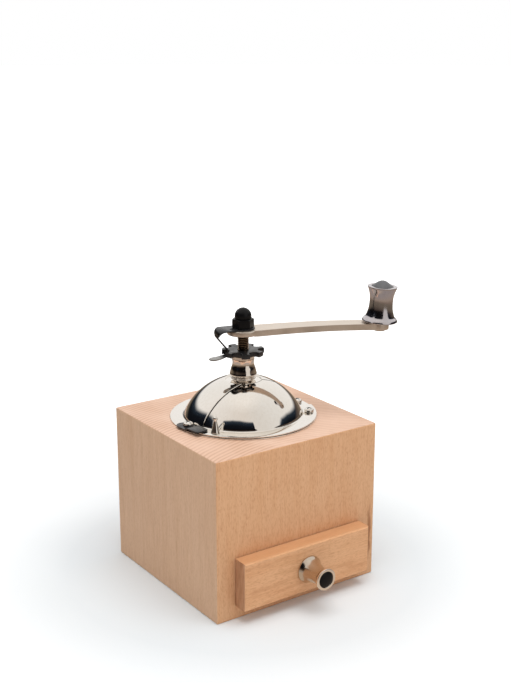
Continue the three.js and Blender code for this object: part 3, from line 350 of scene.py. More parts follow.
# Of the drawer's knob: how far behind its front the bright rim ends and the hazed cone, with its
# painted brown reflection of the wood, begins.
RIM_END, CONE_START = 1 * MM, 3 * MM
# How wide the mottle is in the cone's painted brown reflection.
REFLECTION_MOTTLE = 9 * MM
# Of the thread: radii of its valleys, painted dark as shade, and of its pale crests.
VALLEY, CREST = 3.1 * MM, 3.85 * MM
# Of the clip's leaf: distances from the axis between which its tongue is grey, partly wear and
# partly a painted reflection, the height above the wheel at which that begins, and its fine grain.
WEAR_AND_SHEEN_FROM, WEAR_AND_SHEEN_TO = 14.5 * MM, 17.5 * MM
WEAR_AND_SHEEN_ABOVE = 1 * MM
LEAF_GRAIN = 1.2 * MM
# Of the plain metals: how wide their clouds are, and how deep the unevenness.
MIRROR_CLOUD, ZINC_CLOUD = 14 * MM, 12 * MM
CAST_CLOUD, CAST_BUMP = 9 * MM, 0.012 * MM
GROUND_CLOUD, GROUND_BUMP = 3 * MM, 0.03 * MM
# Of the black and grey surfaces: their grain, and how deep it is.
OXIDE_GRAIN, NYLON_GRAIN, PLUG_GRAIN = 1.2 * MM, 0.5 * MM, 0.6 * MM
BLACK_BUMP, PLUG_BUMP = 0.01 * MM, 0.02 * MM


def colour(text):
    """An sRGB hex colour as the linear colour that a socket takes."""
    channels = [int(text[i:i + 2], 16) / 255 for i in (0, 2, 4)]
    linear = [c / 12.92 if c <= 0.04045 else ((c + 0.055) / 1.055) ** 2.4 for c in channels]
    return (*linear, 1.0)


def feed(tree, node, inputs):
    """Gives a node's inputs their values, or links them to another node's output."""
    for key, value in inputs.items():
        if isinstance(value, bpy.types.NodeSocket):
            tree.links.new(value, node.inputs[key])
        else:
            node.inputs[key].default_value = value


def add(tree, kind, inputs=None, **settings):
    """Adds a shader node with its settings, and its inputs' values or links."""
    made = tree.nodes.new("ShaderNode" + kind)
    for key, value in settings.items():
        setattr(made, key, value)
    feed(tree, made, inputs or {})
    return made


def blank(name):
    """A material with a shader and an output: itself, its tree, its shader, and the object's
    coordinates."""
    material = bpy.data.materials.new(name)
    material.use_nodes = True
    tree = material.node_tree
    tree.nodes.clear()
    shader = add(tree, "BsdfPrincipled")
    add(tree, "OutputMaterial", {"Surface": shader.outputs["BSDF"]})
    return material, tree, shader, add(tree, "TexCoord").outputs["Object"]


def surface(tree, socket):
    """Links a socket to the material's output in place of what was there."""
    output = next(node for node in tree.nodes if node.type == "OUTPUT_MATERIAL")
    tree.links.new(socket, output.inputs["Surface"])


def glowing(name):
    """A material for a piece of the studio, which shows its colour as light of its own."""
    material, tree, shader, point = blank(name)
    tree.nodes.remove(shader)
    glow = add(tree, "Emission", {"Strength": 1.0})
    surface(tree, glow.outputs["Emission"])
    return material, tree, glow, point


def math_of(tree, operation, *values):
    """A sum, a product or another function of one or two values."""
    inputs = dict(enumerate(values))
    return add(tree, "Math", inputs, operation=operation).outputs["Value"]


def distance(tree, point, axes=(1, 1, 1)):
    """How far the point lies from the origin, along those axes alone."""
    flat = add(tree, "VectorMath", {0: point, 1: axes}, operation="MULTIPLY")
    inputs = {0: flat.outputs["Vector"]}
    return add(tree, "VectorMath", inputs, operation="LENGTH").outputs["Value"]


def axes_of(tree, point):
    return add(tree, "SeparateXYZ", {"Vector": point}).outputs


def stepped(tree, factor, stops):
    """A colour ramp with (position, colour) stops."""
    made = add(tree, "ValToRGB", {"Fac": factor})
    elements = made.color_ramp.elements
    while len(elements) < len(stops):
        elements.new(0.5)
    for element, (position, tint) in zip(elements, stops):
        element.position = position
        element.color = tint
    return made.outputs["Color"]


def ramp(tree, factor, stops):
    """A colour ramp with (position, hex colour) stops."""
    return stepped(tree, factor, [(position, colour(text)) for position, text in stops])


def graded(tree, value, low, high, start=0.0, end=1.0, kind="LINEAR"):
    """A value spread from one range onto another, and kept inside it."""
    made = add(tree, "MapRange", {
        "Value": value, "From Min": low, "From Max": high, "To Min": start, "To Max": end,
    }, interpolation_type=kind)
    return made.outputs["Result"]


def mixed(tree, factor, first, second):
    """A mix of two colours, of which the second may be written in hex."""
    second = colour(second) if isinstance(second, str) else second
    made = add(tree, "Mix", data_type="RGBA")
    feed(tree, made, {0: factor, 6: first, 7: second})
    return made.outputs[2]


def grain_noise(tree, point, spacing, detail=2.0, offset=0.0):
    """Noise whose lumps are about as wide as the spacing, one size or a size for each axis."""
    sizes = spacing if isinstance(spacing, tuple) else (spacing,) * 3
    moved = add(tree, "Mapping", {
        "Vector": point, "Location": (offset, offset, offset),
        "Scale": tuple(1 / size for size in sizes),
    })
    noise = add(tree, "TexNoise", {
        "Vector": moved.outputs["Vector"], "Scale": 1.0, "Detail": detail,
    })
    return noise.outputs["Fac"]


def bumped(tree, height, strength, depth):
    made = add(tree, "Bump", {
        "Height": height, "Strength": strength, "Distance": depth,
    })
    return made.outputs["Normal"]


def along(axis, lumps):
    """A size for each axis, with the long one along the grain."""
    across, length = lumps
    return tuple(length if i == axis else across for i in range(3))


def beech(name, axis, light, dark, fleck, offset=0.0, flecked=0.6, mark=None):
    """Beech, planed and fine sanded: an even tan with soft bands, fine long pores, and the short
    brown flecks of its rays, which lie along the grain."""
    material, tree, shader, point = blank(name)
    bands = grain_noise(tree, point, along(axis, BANDS), 3.0, offset)
    pores = grain_noise(tree, point, along(axis, PORES), 3.0, offset + 3)
    flecks = grain_noise(tree, point, along(axis, FLECKS), 1.0, offset + 7)
    cloud = grain_noise(tree, point, along(axis, CLOUDS), 2.0, offset + 5)
    tone = ramp(tree, bands, [(0.28, dark), (0.5, light), (0.74, dark)])
    body = mixed(tree, graded(tree, cloud, 0.35, 0.7, 0.0, 0.3), tone, dark)
    fine = mixed(tree, graded(tree, pores, 0.45, 0.8, 0.0, 0.3), body, fleck)
    marked = mixed(tree, graded(tree, flecks, 0.5, 0.68, 0.0, flecked), fine, fleck)
    if mark:
        marked = mark(tree, point, marked)
    feed(tree, shader, {
        "Base Color": marked, "Roughness": graded(tree, pores, 0.3, 0.8, 0.46, 0.62),
        "IOR": WOOD_IOR, "Specular IOR Level": WOOD_SPECULAR,
        "Normal": bumped(tree, pores, 0.12, WOOD_BUMP),
    })
    return material


def growth_streak(tree, point, base):
    """A brown spindle-shaped growth mark, about 40 mm long, near the front's right edge."""
    wander = grain_noise(tree, point, STREAK_WANDER, 1.0, 2)
    shift = add(tree, "CombineXYZ", {
        "X": graded(tree, wander, 0.3, 0.7, -STREAK_SWAY, STREAK_SWAY),
    })
    moved = add(tree, "VectorMath", {0: point, 1: shift.outputs["Vector"]})
    bent = add(tree, "Mapping", {
        "Vector": moved.outputs["Vector"],
        "Location": tuple(-c / h for c, h in zip(STREAK_CENTRE, STREAK_HALF)),
        "Scale": tuple(1 / h for h in STREAK_HALF),
    })
    inside = add(tree, "TexGradient", {"Vector": bent.outputs["Vector"]},
                 gradient_type="SPHERICAL")
    mask = graded(tree, inside.outputs["Fac"], 0.02, 0.6, 0.0, 0.8)
    return mixed(tree, mask, base, "9A6038")


def panel_ends(tree, point, base):
    """Reddish waves along the drawer's panel, painted shade that dulls its top edge, and the darker
    end grain at its two ends."""
    waves = grain_noise(tree, point, PANEL_WAVES, 2.0, 29)
    waved = mixed(tree, graded(tree, waves, 0.5, 0.7, 0.0, 0.5), base, "CB8C5E")
    parts = axes_of(tree, point)
    half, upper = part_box("drawer_front")[1].x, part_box("drawer_front")[1].z
    end = graded(tree, math_of(tree, "ABSOLUTE", parts["X"]), half - END_FROM, half - END_TO)
    layers = grain_noise(tree, point, PANEL_LAYERS, 2.0, 31)
    cut = ramp(tree, layers, [(0.3, "C29270"), (0.7, "A67452")])
    # The top edge is painted a duller, darker tan as shade.
    edge = graded(tree, parts["Z"], upper - END_FROM, upper - END_TO, 0.0, 0.7)
    return mixed(tree, end, mixed(tree, edge, waved, "CE9C72"), cut)


def beech_end(name, light, dark, line):
    """Beech across its growth: soft brown lines of the rings, which curve round a heart that lay
    in front of the lid."""
    material, tree, shader, point = blank(name)
    heart = add(tree, "Mapping", {
        "Vector": point, "Location": (-RING_HEART[0], -RING_HEART[1], 0), "Scale": (1, 1, 0.3),
    })
    rings = add(tree, "TexWave", {
        "Vector": heart.outputs["Vector"], "Scale": WAVE_SPACING / RING_SPACING,
        "Distortion": 5.0, "Detail": 3.0, "Detail Scale": 0.28, "Detail Roughness": 0.5,
    }, wave_type="RINGS", rings_direction="Z", wave_profile="SIN")
    cloud = grain_noise(tree, point, LID_CLOUDS, 3.0)
    speck = grain_noise(tree, point, LID_SPECKS, 2.0, 4)
    body = ramp(tree, cloud, [(0.3, light), (0.7, dark)])
    faint = graded(tree, cloud, 0.3, 0.62, 0.12, 0.42)
    lined = mixed(tree, graded(tree, rings.outputs["Fac"], 0.35, 1.0, 0.0, faint), body, line)
    feed(tree, shader, {
        "Base Color": mixed(tree, graded(tree, speck, 0.5, 0.8, 0.0, 0.16), lined, line),
        "Roughness": 0.55, "IOR": WOOD_IOR, "Specular IOR Level": WOOD_SPECULAR,
        "Normal": bumped(tree, speck, 0.1, WOOD_BUMP),
    })
    return material


def knob_nickel(name):
    """Nickel plate on the drawer's knob: hazed on the cone that fingers hold, whose darker brownish
    colour is a painted reflection of the wood, and bright on the rim round the black insert."""
    material, tree, shader, point = blank(name)
    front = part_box("drawer_knob")[0].y
    cone = graded(tree, axes_of(tree, point)["Y"], front + RIM_END, front + CONE_START)
    # The cone's darker, brownish colour is a painted reflection of the wood panel.
    painted_wood_reflection = mixed(tree, grain_noise(tree, point, REFLECTION_MOTTLE), colour("C6B8A8"), "D6CABC")
    feed(tree, shader, {
        "Base Color": mixed(tree, cone, colour("F4EBE2"), painted_wood_reflection),
        "Roughness": graded(tree, cone, 0, 1, 0.1, 0.16), "Metallic": 1.0,
    })
    return material


def thread_steel(name):
    """Zinc-plated rod coloured by the depth of its thread: pale brown crests, and valleys painted
    dark as shade.
    """
    material, tree, shader, point = blank(name)
    depth = graded(tree, distance(tree, point, (1, 1, 0)), VALLEY, CREST)
    # The dark valleys are painted shade.
    feed(tree, shader, {
        "Base Color": ramp(tree, depth, [(0.0, "15100C"), (0.45, "3A2F26"), (0.9, "A8937C")]),
        "Roughness": graded(tree, depth, 0, 1, 0.55, 0.24), "Metallic": 1.0,
    })
    return material


def spring_leaf(name):
    """The clip's leaf of black-oxidised spring steel, grey on the tongue that a thumb presses:
    partly wear, partly a painted reflection."""
    material, tree, shader, point = blank(name)
    out = graded(tree, distance(tree, point, (1, 1, 0)), WEAR_AND_SHEEN_FROM, WEAR_AND_SHEEN_TO)
    low = graded(tree, axes_of(tree, point)["Z"], WHEEL_TOP + WEAR_AND_SHEEN_ABOVE, WHEEL_BOTTOM)
    fine = grain_noise(tree, point, LEAF_GRAIN, 3.0)
    # The tongue's grey is partly wear and partly a painted reflection of the bright overhead.
    feed(tree, shader, {
        "Base Color": mixed(tree, math_of(tree, "MULTIPLY", out, low), colour("38383A"), "A3A29F"),
        "Roughness": graded(tree, fine, 0.3, 0.7, 0.28, 0.42), "Metallic": 1.0,
    })
    return material


def metal(name, text, rough_low, rough_high, stain, spread, bump_height=0.0):
    """A bare or plated metal: clouded roughness at the given spacing, and a faint stain that
    follows it. The bump is the casting's or the grinding's own unevenness."""
    material, tree, shader, point = blank(name)
    cloud = grain_noise(tree, point, spread, 4.0)
    fine = grain_noise(tree, point, (spread / 9, spread / 9, spread / 3), 3.0, 2)
    feed(tree, shader, {
        "Roughness": graded(tree, cloud, 0.3, 0.75, rough_low, rough_high),
        "Base Color": mixed(tree, graded(tree, fine, 0.35, 0.75, 0.0, 0.5), colour(text), stain),
        "Metallic": 1.0,
    })
    if bump_height:
        feed(tree, shader, {"Normal": bumped(tree, fine, 0.35, bump_height)})
    return material


def coated(name, text, worn, rough, spread, specular, bump_height):
    """A dark moulded or oxidised surface: a fine grain in its roughness, paler where handled."""
    material, tree, shader, point = blank(name)
    fine = grain_noise(tree, point, spread, 3.0)
    cloud = grain_noise(tree, point, spread * 14, 2.0, 6)
    feed(tree, shader, {
        "Base Color": mixed(tree, graded(tree, cloud, 0.4, 0.8, 0.0, 0.6), colour(text), worn),
        "Roughness": graded(tree, fine, 0.3, 0.7, rough - 0.06, rough + 0.08),
        "Specular IOR Level": specular, "Normal": bumped(tree, fine, 0.3, bump_height),
    })
    return material


def finishes():
    """Every finish, by its name."""
    made = (
        # Natural beech, waxed lightly: warm tan walls with an upright grain.
        (beech, "beech_wall", 2, "E2B186", "DBA578", "B56D40", 0, 0.32, growth_streak),
        # The left and right boards, quarter cut: finer, smoother and a little greyer.
        (beech, "beech_side", 2, "DAB494", "D3AA88", "A97A5C", 3, 0.2),
        # The same beech, seen across its growth rings on the lid.
        (beech_end, "beech_top", "E9C6AF", "E0BAA0", "B27C5C"),
        # The drawer's panel lies with its grain level.
        (beech, "beech_panel", 0, "EAB587", "E2A778", "B46E42", 11, 0.32, panel_ends),
        # The drawer's sides run front to back.
        (beech, "beech_tray", 1, "DDB388", "CF9F74", "9E6D49", 17),
        # Birch plywood of the drawer's floor, paler and plainer.
        (beech, "birch_plywood", 0, "E2C79E", "D6B789", "B8925F", 23),
        # Nickel plate over polished brass: a warm mirror with the faintest haze.
        (metal, "polished_nickel", "F1EDE7", 0.03, 0.09, "E9E3DA", MIRROR_CLOUD),
        # The same plate on the turned neck, buffed less: soft-edged mirrors.
        (metal, "turned_nickel", "F0E8E0", 0.1, 0.15, "E6DBCE", MIRROR_CLOUD),
        # Turned stainless steel of the crank's knob: a greyer, slightly brushed mirror.
        (metal, "turned_steel", "C9C5C9", 0.12, 0.17, "BEB9BC", MIRROR_CLOUD),
        # The plate on the drawer's knob, hazed by fingers, with a painted brown reflection on its
        # cone.
        (knob_nickel, "knob_nickel"),
        # Zinc-plated rod, pale brown on its thread's crests, with painted shade in its valleys.
        (thread_steel, "thread_steel"),
        # Leaf of the clip, oxidised black, and grey at its tongue: partly wear, partly a painted
        # reflection.
        (spring_leaf, "spring_leaf"),
        # Nickel plate over a tumbled casting: satin, beige, slightly lumpy.
        (metal, "cast_nickel", "EADFD3", 0.4, 0.5, "E2D6C8", CAST_CLOUD, CAST_BUMP),
        # Zinc-plated steel, slightly brown where the thread is oiled.
        (metal, "zinc_steel", "B5A797", 0.2, 0.3, "A39483", ZINC_CLOUD),
        # Case-hardened steel of the burrs: dull grey with a ground grain.
        (metal, "hardened_steel", "8C8A8C", 0.3, 0.5, "6E6B6C", GROUND_CLOUD, GROUND_BUMP),
        # Black-oxidised spring steel: near black, satin, grey where light grazes it.
        (coated, "black_oxide", "1A1A1C", "232325", 0.3, OXIDE_GRAIN, 0.5, BLACK_BUMP),
        # Black nylon of the cap nut: satin with a fine moulded grain.
        (coated, "black_nylon", "08080A", "0E0E10", 0.36, NYLON_GRAIN, 0.22, BLACK_BUMP),
        # Dark grey moulded plug of the crank's knob.
        (coated, "grey_plug", "58595B", "66676A", 0.38, PLUG_GRAIN, 0.5, PLUG_BUMP),
    )
    return {name: maker(name, *values) for maker, name, *values in made}


# Sizes and colours that a user may change


def length_of(name, description, millimetres):
    return FloatProperty(name=name, description=description, default=millimetres * MM,
                         unit="LENGTH", subtype="DISTANCE", precision=4)


def angle_of(name, description, degrees):
    return FloatProperty(name=name, description=description, default=math.radians(degrees),
                         unit="ROTATION", subtype="ANGLE")


def colour_of(name, description, text):
    return FloatVectorProperty(name=name, description=description, size=4, subtype="COLOR",
                               min=0, max=1, default=colour(text))


class MILL_PG_box(bpy.types.PropertyGroup):
    board: length_of("Board", "Thickness of the box's boards", 12)
    edge: length_of("Edge", "Radius of the box's outer edges", 1.1)
    seam: length_of("Seam", "Gap at the mitres", 0.02)
    panel_edge: length_of("Panel edge", "Bevel round the drawer's panel", 0.9)
    tray_edge: length_of("Tray edge", "Eased edges of the drawer's tray", 0.5)
    well: length_of("Well", "Radius of the hole under the dome", 36.1)
    seat: length_of("Seat", "Radius of the rebate that takes the hopper's flange", 40.3)
    seat_depth: length_of("Seat depth", "Depth of that rebate", 0.9)


class MILL_PG_dome(bpy.types.PropertyGroup):
    radius: length_of("Radius", "Outer radius of the dome", 45.4)
    sink: length_of("Sink", "Depth of the dome's centre below the box's top", 17.2)
    sheet: length_of("Sheet", "Thickness of the pressed sheet", 0.8)
    flange: length_of("Flange", "Outer radius of ring and door flange", 50.5)
    flange_sheet: length_of("Flange sheet", "Thickness of the flange", 0.75)
    fillet: length_of("Fillet", "Radius at the dome's foot", 1.2)
    land: length_of("Land", "Radius of the sunk land under the neck", 12.5)
    slit: length_of("Slit", "Distance of the door's edge from the axis", 11)
    slit_gap: length_of("Slit gap", "Gap between door and dome", 1.25)
    steps: IntProperty(name="Steps", description="Steps round the dome", default=160, min=48)


class MILL_PG_crank(bpy.types.PropertyGroup):
    turn: angle_of("Turn", "Direction of the crank arm", -27)
    reach: length_of("Reach", "Distance from spindle to knob", 94.2)
    root: length_of("Root width", "Width of the arm at the hub", 18)
    tip: length_of("Tip width", "Width of the arm at the knob", 11.6)
    thickness: length_of("Thickness", "Thickness of the arm", 4.2)
    rise: length_of("Rise", "How far the arm's top rises above the hub", 2)
    tilt: angle_of("Tilt", "Lean of the knob's axle", 3.5)
    pitch: length_of("Pitch", "Pitch of the spindle's thread", 1.25)
    sheet: length_of("Clip sheet", "Thickness of the locking clip", 0.8)


class MILL_PG_stage(bpy.types.PropertyGroup):
    floor: colour_of("Floor", "Colour of the floor near the mill", "E7EDF1")
    lens: FloatProperty(name="Lens", description="Focal length", default=61.65, unit="CAMERA")
    day: FloatProperty(name="Day", description="Level of the even light from all round",
                       default=0.6, min=0)
    key: FloatProperty(name="Key", description="Power of the large lamp", default=10.3, min=0,
                       unit="POWER")
    lift: FloatProperty(name="Lift", description="How far the camera sees the floor lifted",
                        default=0.02, min=0)


def box_sizes():
    return bpy.context.scene.mill_box


def dome_sizes():
    return bpy.context.scene.mill_dome


def crank_sizes():
    return bpy.context.scene.mill_crank


# Heights and radii shared by several pieces

NECK_TAIL_LENGTH = 5 * MM
BOX_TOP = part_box("top_board")[1].z
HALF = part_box("top_board")[1].x
RING_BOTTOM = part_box("rear_dome")[0].z
DOOR_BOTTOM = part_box("dome_door")[0].z
NECK_TAIL_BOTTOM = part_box("neck_collar")[0].z
LAND_TOP = NECK_TAIL_BOTTOM + NECK_TAIL_LENGTH
NECK_BOTTOM = LAND_TOP + JOINT
NECK_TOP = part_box("neck_collar")[1].z
WHEEL_BOTTOM, WHEEL_TOP = (place.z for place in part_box("adjusting_wheel"))
CLIP_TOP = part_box("clip_strap")[1].z
ACORN_BOTTOM, ACORN_TOP = (place.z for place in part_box("acorn_nut"))
SPINDLE_BOTTOM, SPINDLE_TOP = (place.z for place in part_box("spindle"))
BORE = 4.05 * MM
HUB_BELOW_STRAP = 0.9 * MM
# The share of the arm's reach at which its top stands highest.
ARM_CREST_SHARE = 0.65


# Box

DRAWER_SIDE_ROOM = 0.6 * MM
DRAWER_TOP_ROOM = 0.9 * MM


def rounded_box():
    return bevelled(block((-HALF, -HALF, 0), (HALF, HALF, BOX_TOP)), box_sizes().edge, 5)


def wall(turns):
    """One wall of the rounded box: mitred at its sides and its top, and flat inside."""
    sizes = box_sizes()
    piece = turned(rounded_box(), -turns * QUARTER)
    corner_at = HALF - sizes.seam / 2
    for side in (-1, 1):
        sliced(piece, (side * corner_at, -HALF, 0), (side, 1, 0))
    sliced(piece, (0, -HALF, BOX_TOP - sizes.seam / 2), (0, 1, 1))
    sliced(piece, (0, sizes.board - HALF, 0), (0, 1, 0))
    return turned(piece, turns * QUARTER)


class MILL_OT_walls(bpy.types.Operator):
    """Model the four mitred walls, with the drawer's opening in the front one"""
    bl_idname = "mill.walls"
    bl_label = "Walls"

    def execute(self, context):
        for turns, node in enumerate(("front_board", "right_board", "back_board", "left_board")):
            piece = wall(turns)
            if node == "front_board":
                low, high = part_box("drawer_side_left")[0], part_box("drawer_side_right")[1]
                combine(piece, block(
                    (low.x - DRAWER_SIDE_ROOM, -HALF - OVERRUN, low.z - GAP),
                    (high.x + DRAWER_SIDE_ROOM, OVERRUN - HALF + box_sizes().board,
                     high.z + DRAWER_TOP_ROOM),
                ))
            finish = "beech_wall" if turns % 2 == 0 else "beech_side"
            dressed(piece, node + "_planed", finish, "case", "beech", node)
        return {"FINISHED"}


class MILL_OT_top(bpy.types.Operator):
    """Model the top board, with the rebated well that takes the hopper"""
    bl_idname = "mill.top"
    bl_label = "Top"

    def execute(self, context):
        sizes = box_sizes()
        piece = rounded_box()
        corner_at = HALF - sizes.seam / 2
        for x, y in ((-1, 0), (1, 0), (0, -1), (0, 1)):
            sliced(piece, (x * corner_at, y * corner_at, BOX_TOP), (x, y, -1))
        under = BOX_TOP - sizes.board
        sliced(piece, (0, 0, under), (0, 0, -1))
        floor = BOX_TOP - sizes.seat_depth
        combine(piece, spun([
            (0, under - OVERRUN),
            (sizes.well, under - OVERRUN),
            (sizes.well, floor),
            (sizes.seat, floor),
            (sizes.seat, BOX_TOP + OVERRUN),
            (0, BOX_TOP + OVERRUN),
        ], WIDE_STEPS))
        dressed(piece, "top_board_planed", "beech_top", "case", "beech", "top_board")
        return {"FINISHED"}


def planed(node, edge, finish, body, slot):
    """A board with eased edges, between the corners of its CAD node."""
    piece = bevelled(block(*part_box(node)), edge, 3)
    return dressed(piece, node + "_planed", finish, body, slot, node)


class MILL_OT_drawer(bpy.types.Operator):
    """Model the drawer's panel and tray, and the boards under it"""
    bl_idname = "mill.drawer"
    bl_label = "Drawer"

    def execute(self, context):
        sizes = box_sizes()
        low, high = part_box("drawer_front")
        piece = edit(block(low, high))
        choose(piece, "EDGE", lambda e: all(v.co.y < low.y + MERGE for v in e.verts))
        bpy.ops.mesh.bevel(offset=sizes.panel_edge, segments=1, affect="EDGES")
        done(piece)
        dressed(piece, "drawer_panel", "beech_panel", "drawer", "drawer_beech", "drawer_front")
        for side in ("drawer_side_left", "drawer_side_right", "drawer_back"):
            planed(side, sizes.tray_edge, "beech_tray", "drawer", "drawer_beech")
        planed("drawer_floor", sizes.tray_edge / 2, "birch_plywood", "drawer", "plywood")
        planed("bottom_board", sizes.tray_edge, "beech_tray", "case", "beech")
        for node in ("drawer_runner_left", "drawer_runner_right"):
            piece = eased(merged_copy(node), sizes.tray_edge)
            dressed(piece, node + "_planed", "beech_tray", "case", "beech", node)
        return {"FINISHED"}


# Knobs

# Shares of the drawer knob's (foot radius or rim radius, length) along its side.
DRAWER_KNOB_FOOT_SHARES = ((1, 0.05), (0.83, 0.2), (0.69, 0.44))
DRAWER_KNOB_WAIST_SHARE = 0.66
DRAWER_KNOB_RIM_SHARES = ((0.83, 0.83), (1, 0.94))
DRAWER_KNOB_LENGTH = 18.5 * MM
DRAWER_KNOB_FOOT = 9.3 * MM
DRAWER_KNOB_WAIST = 5.8 * MM
DRAWER_KNOB_RIM = 7.4 * MM
DRAWER_KNOB_RIM_WIDTH = 1.9 * MM
DRAWER_KNOB_RECESS = 1.9 * MM
DRAWER_KNOB_LIP = 0.35 * MM
DRAWER_KNOB_CAP_RISE = 1 * MM
BOLT_EDGE = 0.1 * MM

# The same for the crank's knob.
KNOB_FOOT_SHARES = (
    (1, 0.04), (0.992, 0.06), (0.965, 0.085), (0.925, 0.11), (0.825, 0.16), (0.76, 0.24),
    (0.69, 0.37),
)
KNOB_WAIST_SHARE = 0.55
KNOB_RIM_SHARES = ((0.79, 0.7), (0.86, 0.83), (0.96, 0.945))
KNOB_HEIGHT = 25.2 * MM
KNOB_FOOT = 12.1 * MM
KNOB_WAIST = 8 * MM
KNOB_RIM = 10.3 * MM
KNOB_RIM_WIDTH = 2.9 * MM
KNOB_RECESS = 2 * MM
KNOB_LIP = 0.5 * MM
# How far the foot's underside and its lowest edge stay inside the foot, and that edge's height.
KNOB_SOLE_INSET, KNOB_EDGE_INSET, KNOB_EDGE_RISE = 1.1 * MM, 0.5 * MM, 0.25 * MM
AXLE_BORE, AXLE_HEAD_BORE, AXLE_HEAD_DEPTH = 2.9 * MM, 5.2 * MM, 5 * MM
# Of its plug: the edge below the rim, then a dome of (share of the plug's radius, rise).
PLUG_SINK, PLUG_EDGE_INSET, PLUG_EDGE_SINK = 0.6 * MM, 0.4 * MM, 0.2 * MM
PLUG_DOME = ((0.8, 0.9 * MM), (0.52, 2.5 * MM), (0.26, 3.5 * MM), (0, 3.85 * MM))


def stand_out(piece):
    """Turns a piece that stands on the ground so that it stands out of the drawer's panel."""
    low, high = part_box("drawer_knob")
    return apply_place(piece, (0, high.y, (low.z + high.z) / 2), (QUARTER, 0, 0))


class MILL_OT_drawer_knob(bpy.types.Operator):
    """Turn the drawer's knob, its black insert and its screw"""
    bl_idname = "mill.drawer_knob"
    bl_label = "Drawer knob"

    def execute(self, context):
        length, rim, foot, lip = (
            DRAWER_KNOB_LENGTH, DRAWER_KNOB_RIM, DRAWER_KNOB_FOOT, DRAWER_KNOB_LIP)
        recess = rim - DRAWER_KNOB_RIM_WIDTH
        shelf = length - DRAWER_KNOB_RECESS
        piece = stand_out(spun([
            (0, 0),
            (foot - lip, 0),
            *corner(foot, 0, lip, -90),
            *smooth([
                *scaled(DRAWER_KNOB_FOOT_SHARES, foot, length),
                (DRAWER_KNOB_WAIST, length * DRAWER_KNOB_WAIST_SHARE),
                *scaled(DRAWER_KNOB_RIM_SHARES, rim, length),
            ]),
            *corner(rim, length, lip, 0),
            *corner(recess, length, lip, 90),
            (recess, shelf),
            (0, shelf),
        ], WIDE_STEPS))
        dressed(piece, "drawer_knob_turned", "knob_nickel", "drawer", "polished_nickel",
                "drawer_knob", angle=50)
        cap = recess - JOINT
        piece = stand_out(spun([
            (0, shelf + JOINT),
            (cap, shelf + JOINT),
            *crown(cap, length - lip, length + DRAWER_KNOB_CAP_RISE),
        ], ROUND_STEPS))
        dressed(piece, "drawer_knob_insert", "black_nylon", "drawer", "black_plastic",
                "drawer_knob_cap")
        dressed(eased(merged_copy("drawer_knob_screw"), BOLT_EDGE), "drawer_knob_bolt",
                "zinc_steel", "drawer", "plain_steel", "drawer_knob_screw")
        return {"FINISHED"}


def arm_top(share):
    """Height of the arm's top at a share of its reach."""
    swell = math.sin(QUARTER * share / ARM_CREST_SHARE)
    return CLIP_TOP - HUB_BELOW_STRAP + crank_sizes().rise * swell


def seat_at_knob(piece):
    """Leans a piece that stands at the origin, and seats it on the arm's boss."""
    sizes = crank_sizes()
    apply_place(piece, (sizes.reach, 0, arm_top(1)), (0, sizes.tilt, 0))
    return turned(piece, sizes.turn)


class MILL_OT_crank_knob(bpy.types.Operator):
    """Turn the crank's knob, its plug and its axle"""
    bl_idname = "mill.crank_knob"
    bl_label = "Crank knob"

    def execute(self, context):
        height, foot, lip = KNOB_HEIGHT, KNOB_FOOT, KNOB_LIP
        recess = KNOB_RIM - KNOB_RIM_WIDTH
        shelf = height - KNOB_RECESS
        piece = seat_at_knob(spun([
            (AXLE_BORE, GAP),
            (foot - KNOB_SOLE_INSET, GAP),
            *smooth([
                (foot - KNOB_EDGE_INSET, GAP + KNOB_EDGE_RISE),
                *scaled(KNOB_FOOT_SHARES, foot, height),
                (KNOB_WAIST, height * KNOB_WAIST_SHARE),
                *scaled(KNOB_RIM_SHARES, KNOB_RIM, height),
            ], 6),
            *arc((KNOB_RIM - lip, height - lip), lip, 20, 90, 6),
            *corner(recess, height, lip, 90, 6),
            (recess, shelf),
            (AXLE_HEAD_BORE, shelf),
            (AXLE_HEAD_BORE, shelf - AXLE_HEAD_DEPTH),
            (AXLE_BORE, shelf - AXLE_HEAD_DEPTH),
        ], KNOB_STEPS, loop=True))
        dressed(piece, "crank_knob_turned", "turned_steel", "knob", "polished_nickel",
                "crank_knob", angle=50)
        plug = recess - JOINT
        piece = seat_at_knob(spun([
            (0, shelf + JOINT),
            (plug, shelf + JOINT),
            (plug, height - PLUG_SINK),
            *smooth([
                (plug - PLUG_EDGE_INSET, height - PLUG_EDGE_SINK),
                *((plug * share, height + rise) for share, rise in PLUG_DOME),
            ], 8),
        ], ROUND_STEPS))
        dressed(piece, "crank_knob_plug", "grey_plug", "knob", "grey_plastic", "knob_cap",
                angle=50)
        dressed(eased(merged_copy("knob_axle"), BOLT_EDGE), "knob_rivet", "zinc_steel", "spindle",
                "plain_steel", "knob_axle")
        return {"FINISHED"}


# Dome

LAND_HOLE = 5.9 * MM
LAND_FALL = 0.6 * MM
DOME_EDGE = 0.12 * MM
CREASE_ANGLE = math.radians(60)
# On the right, how far behind the slit's line the ring and the door end, and how far in front of
# it the door's flange does.
RING_END_STEP, DOOR_END_STEP, DOOR_FLANGE_STEP = 2 * MM, 1.2 * MM, 2.2 * MM


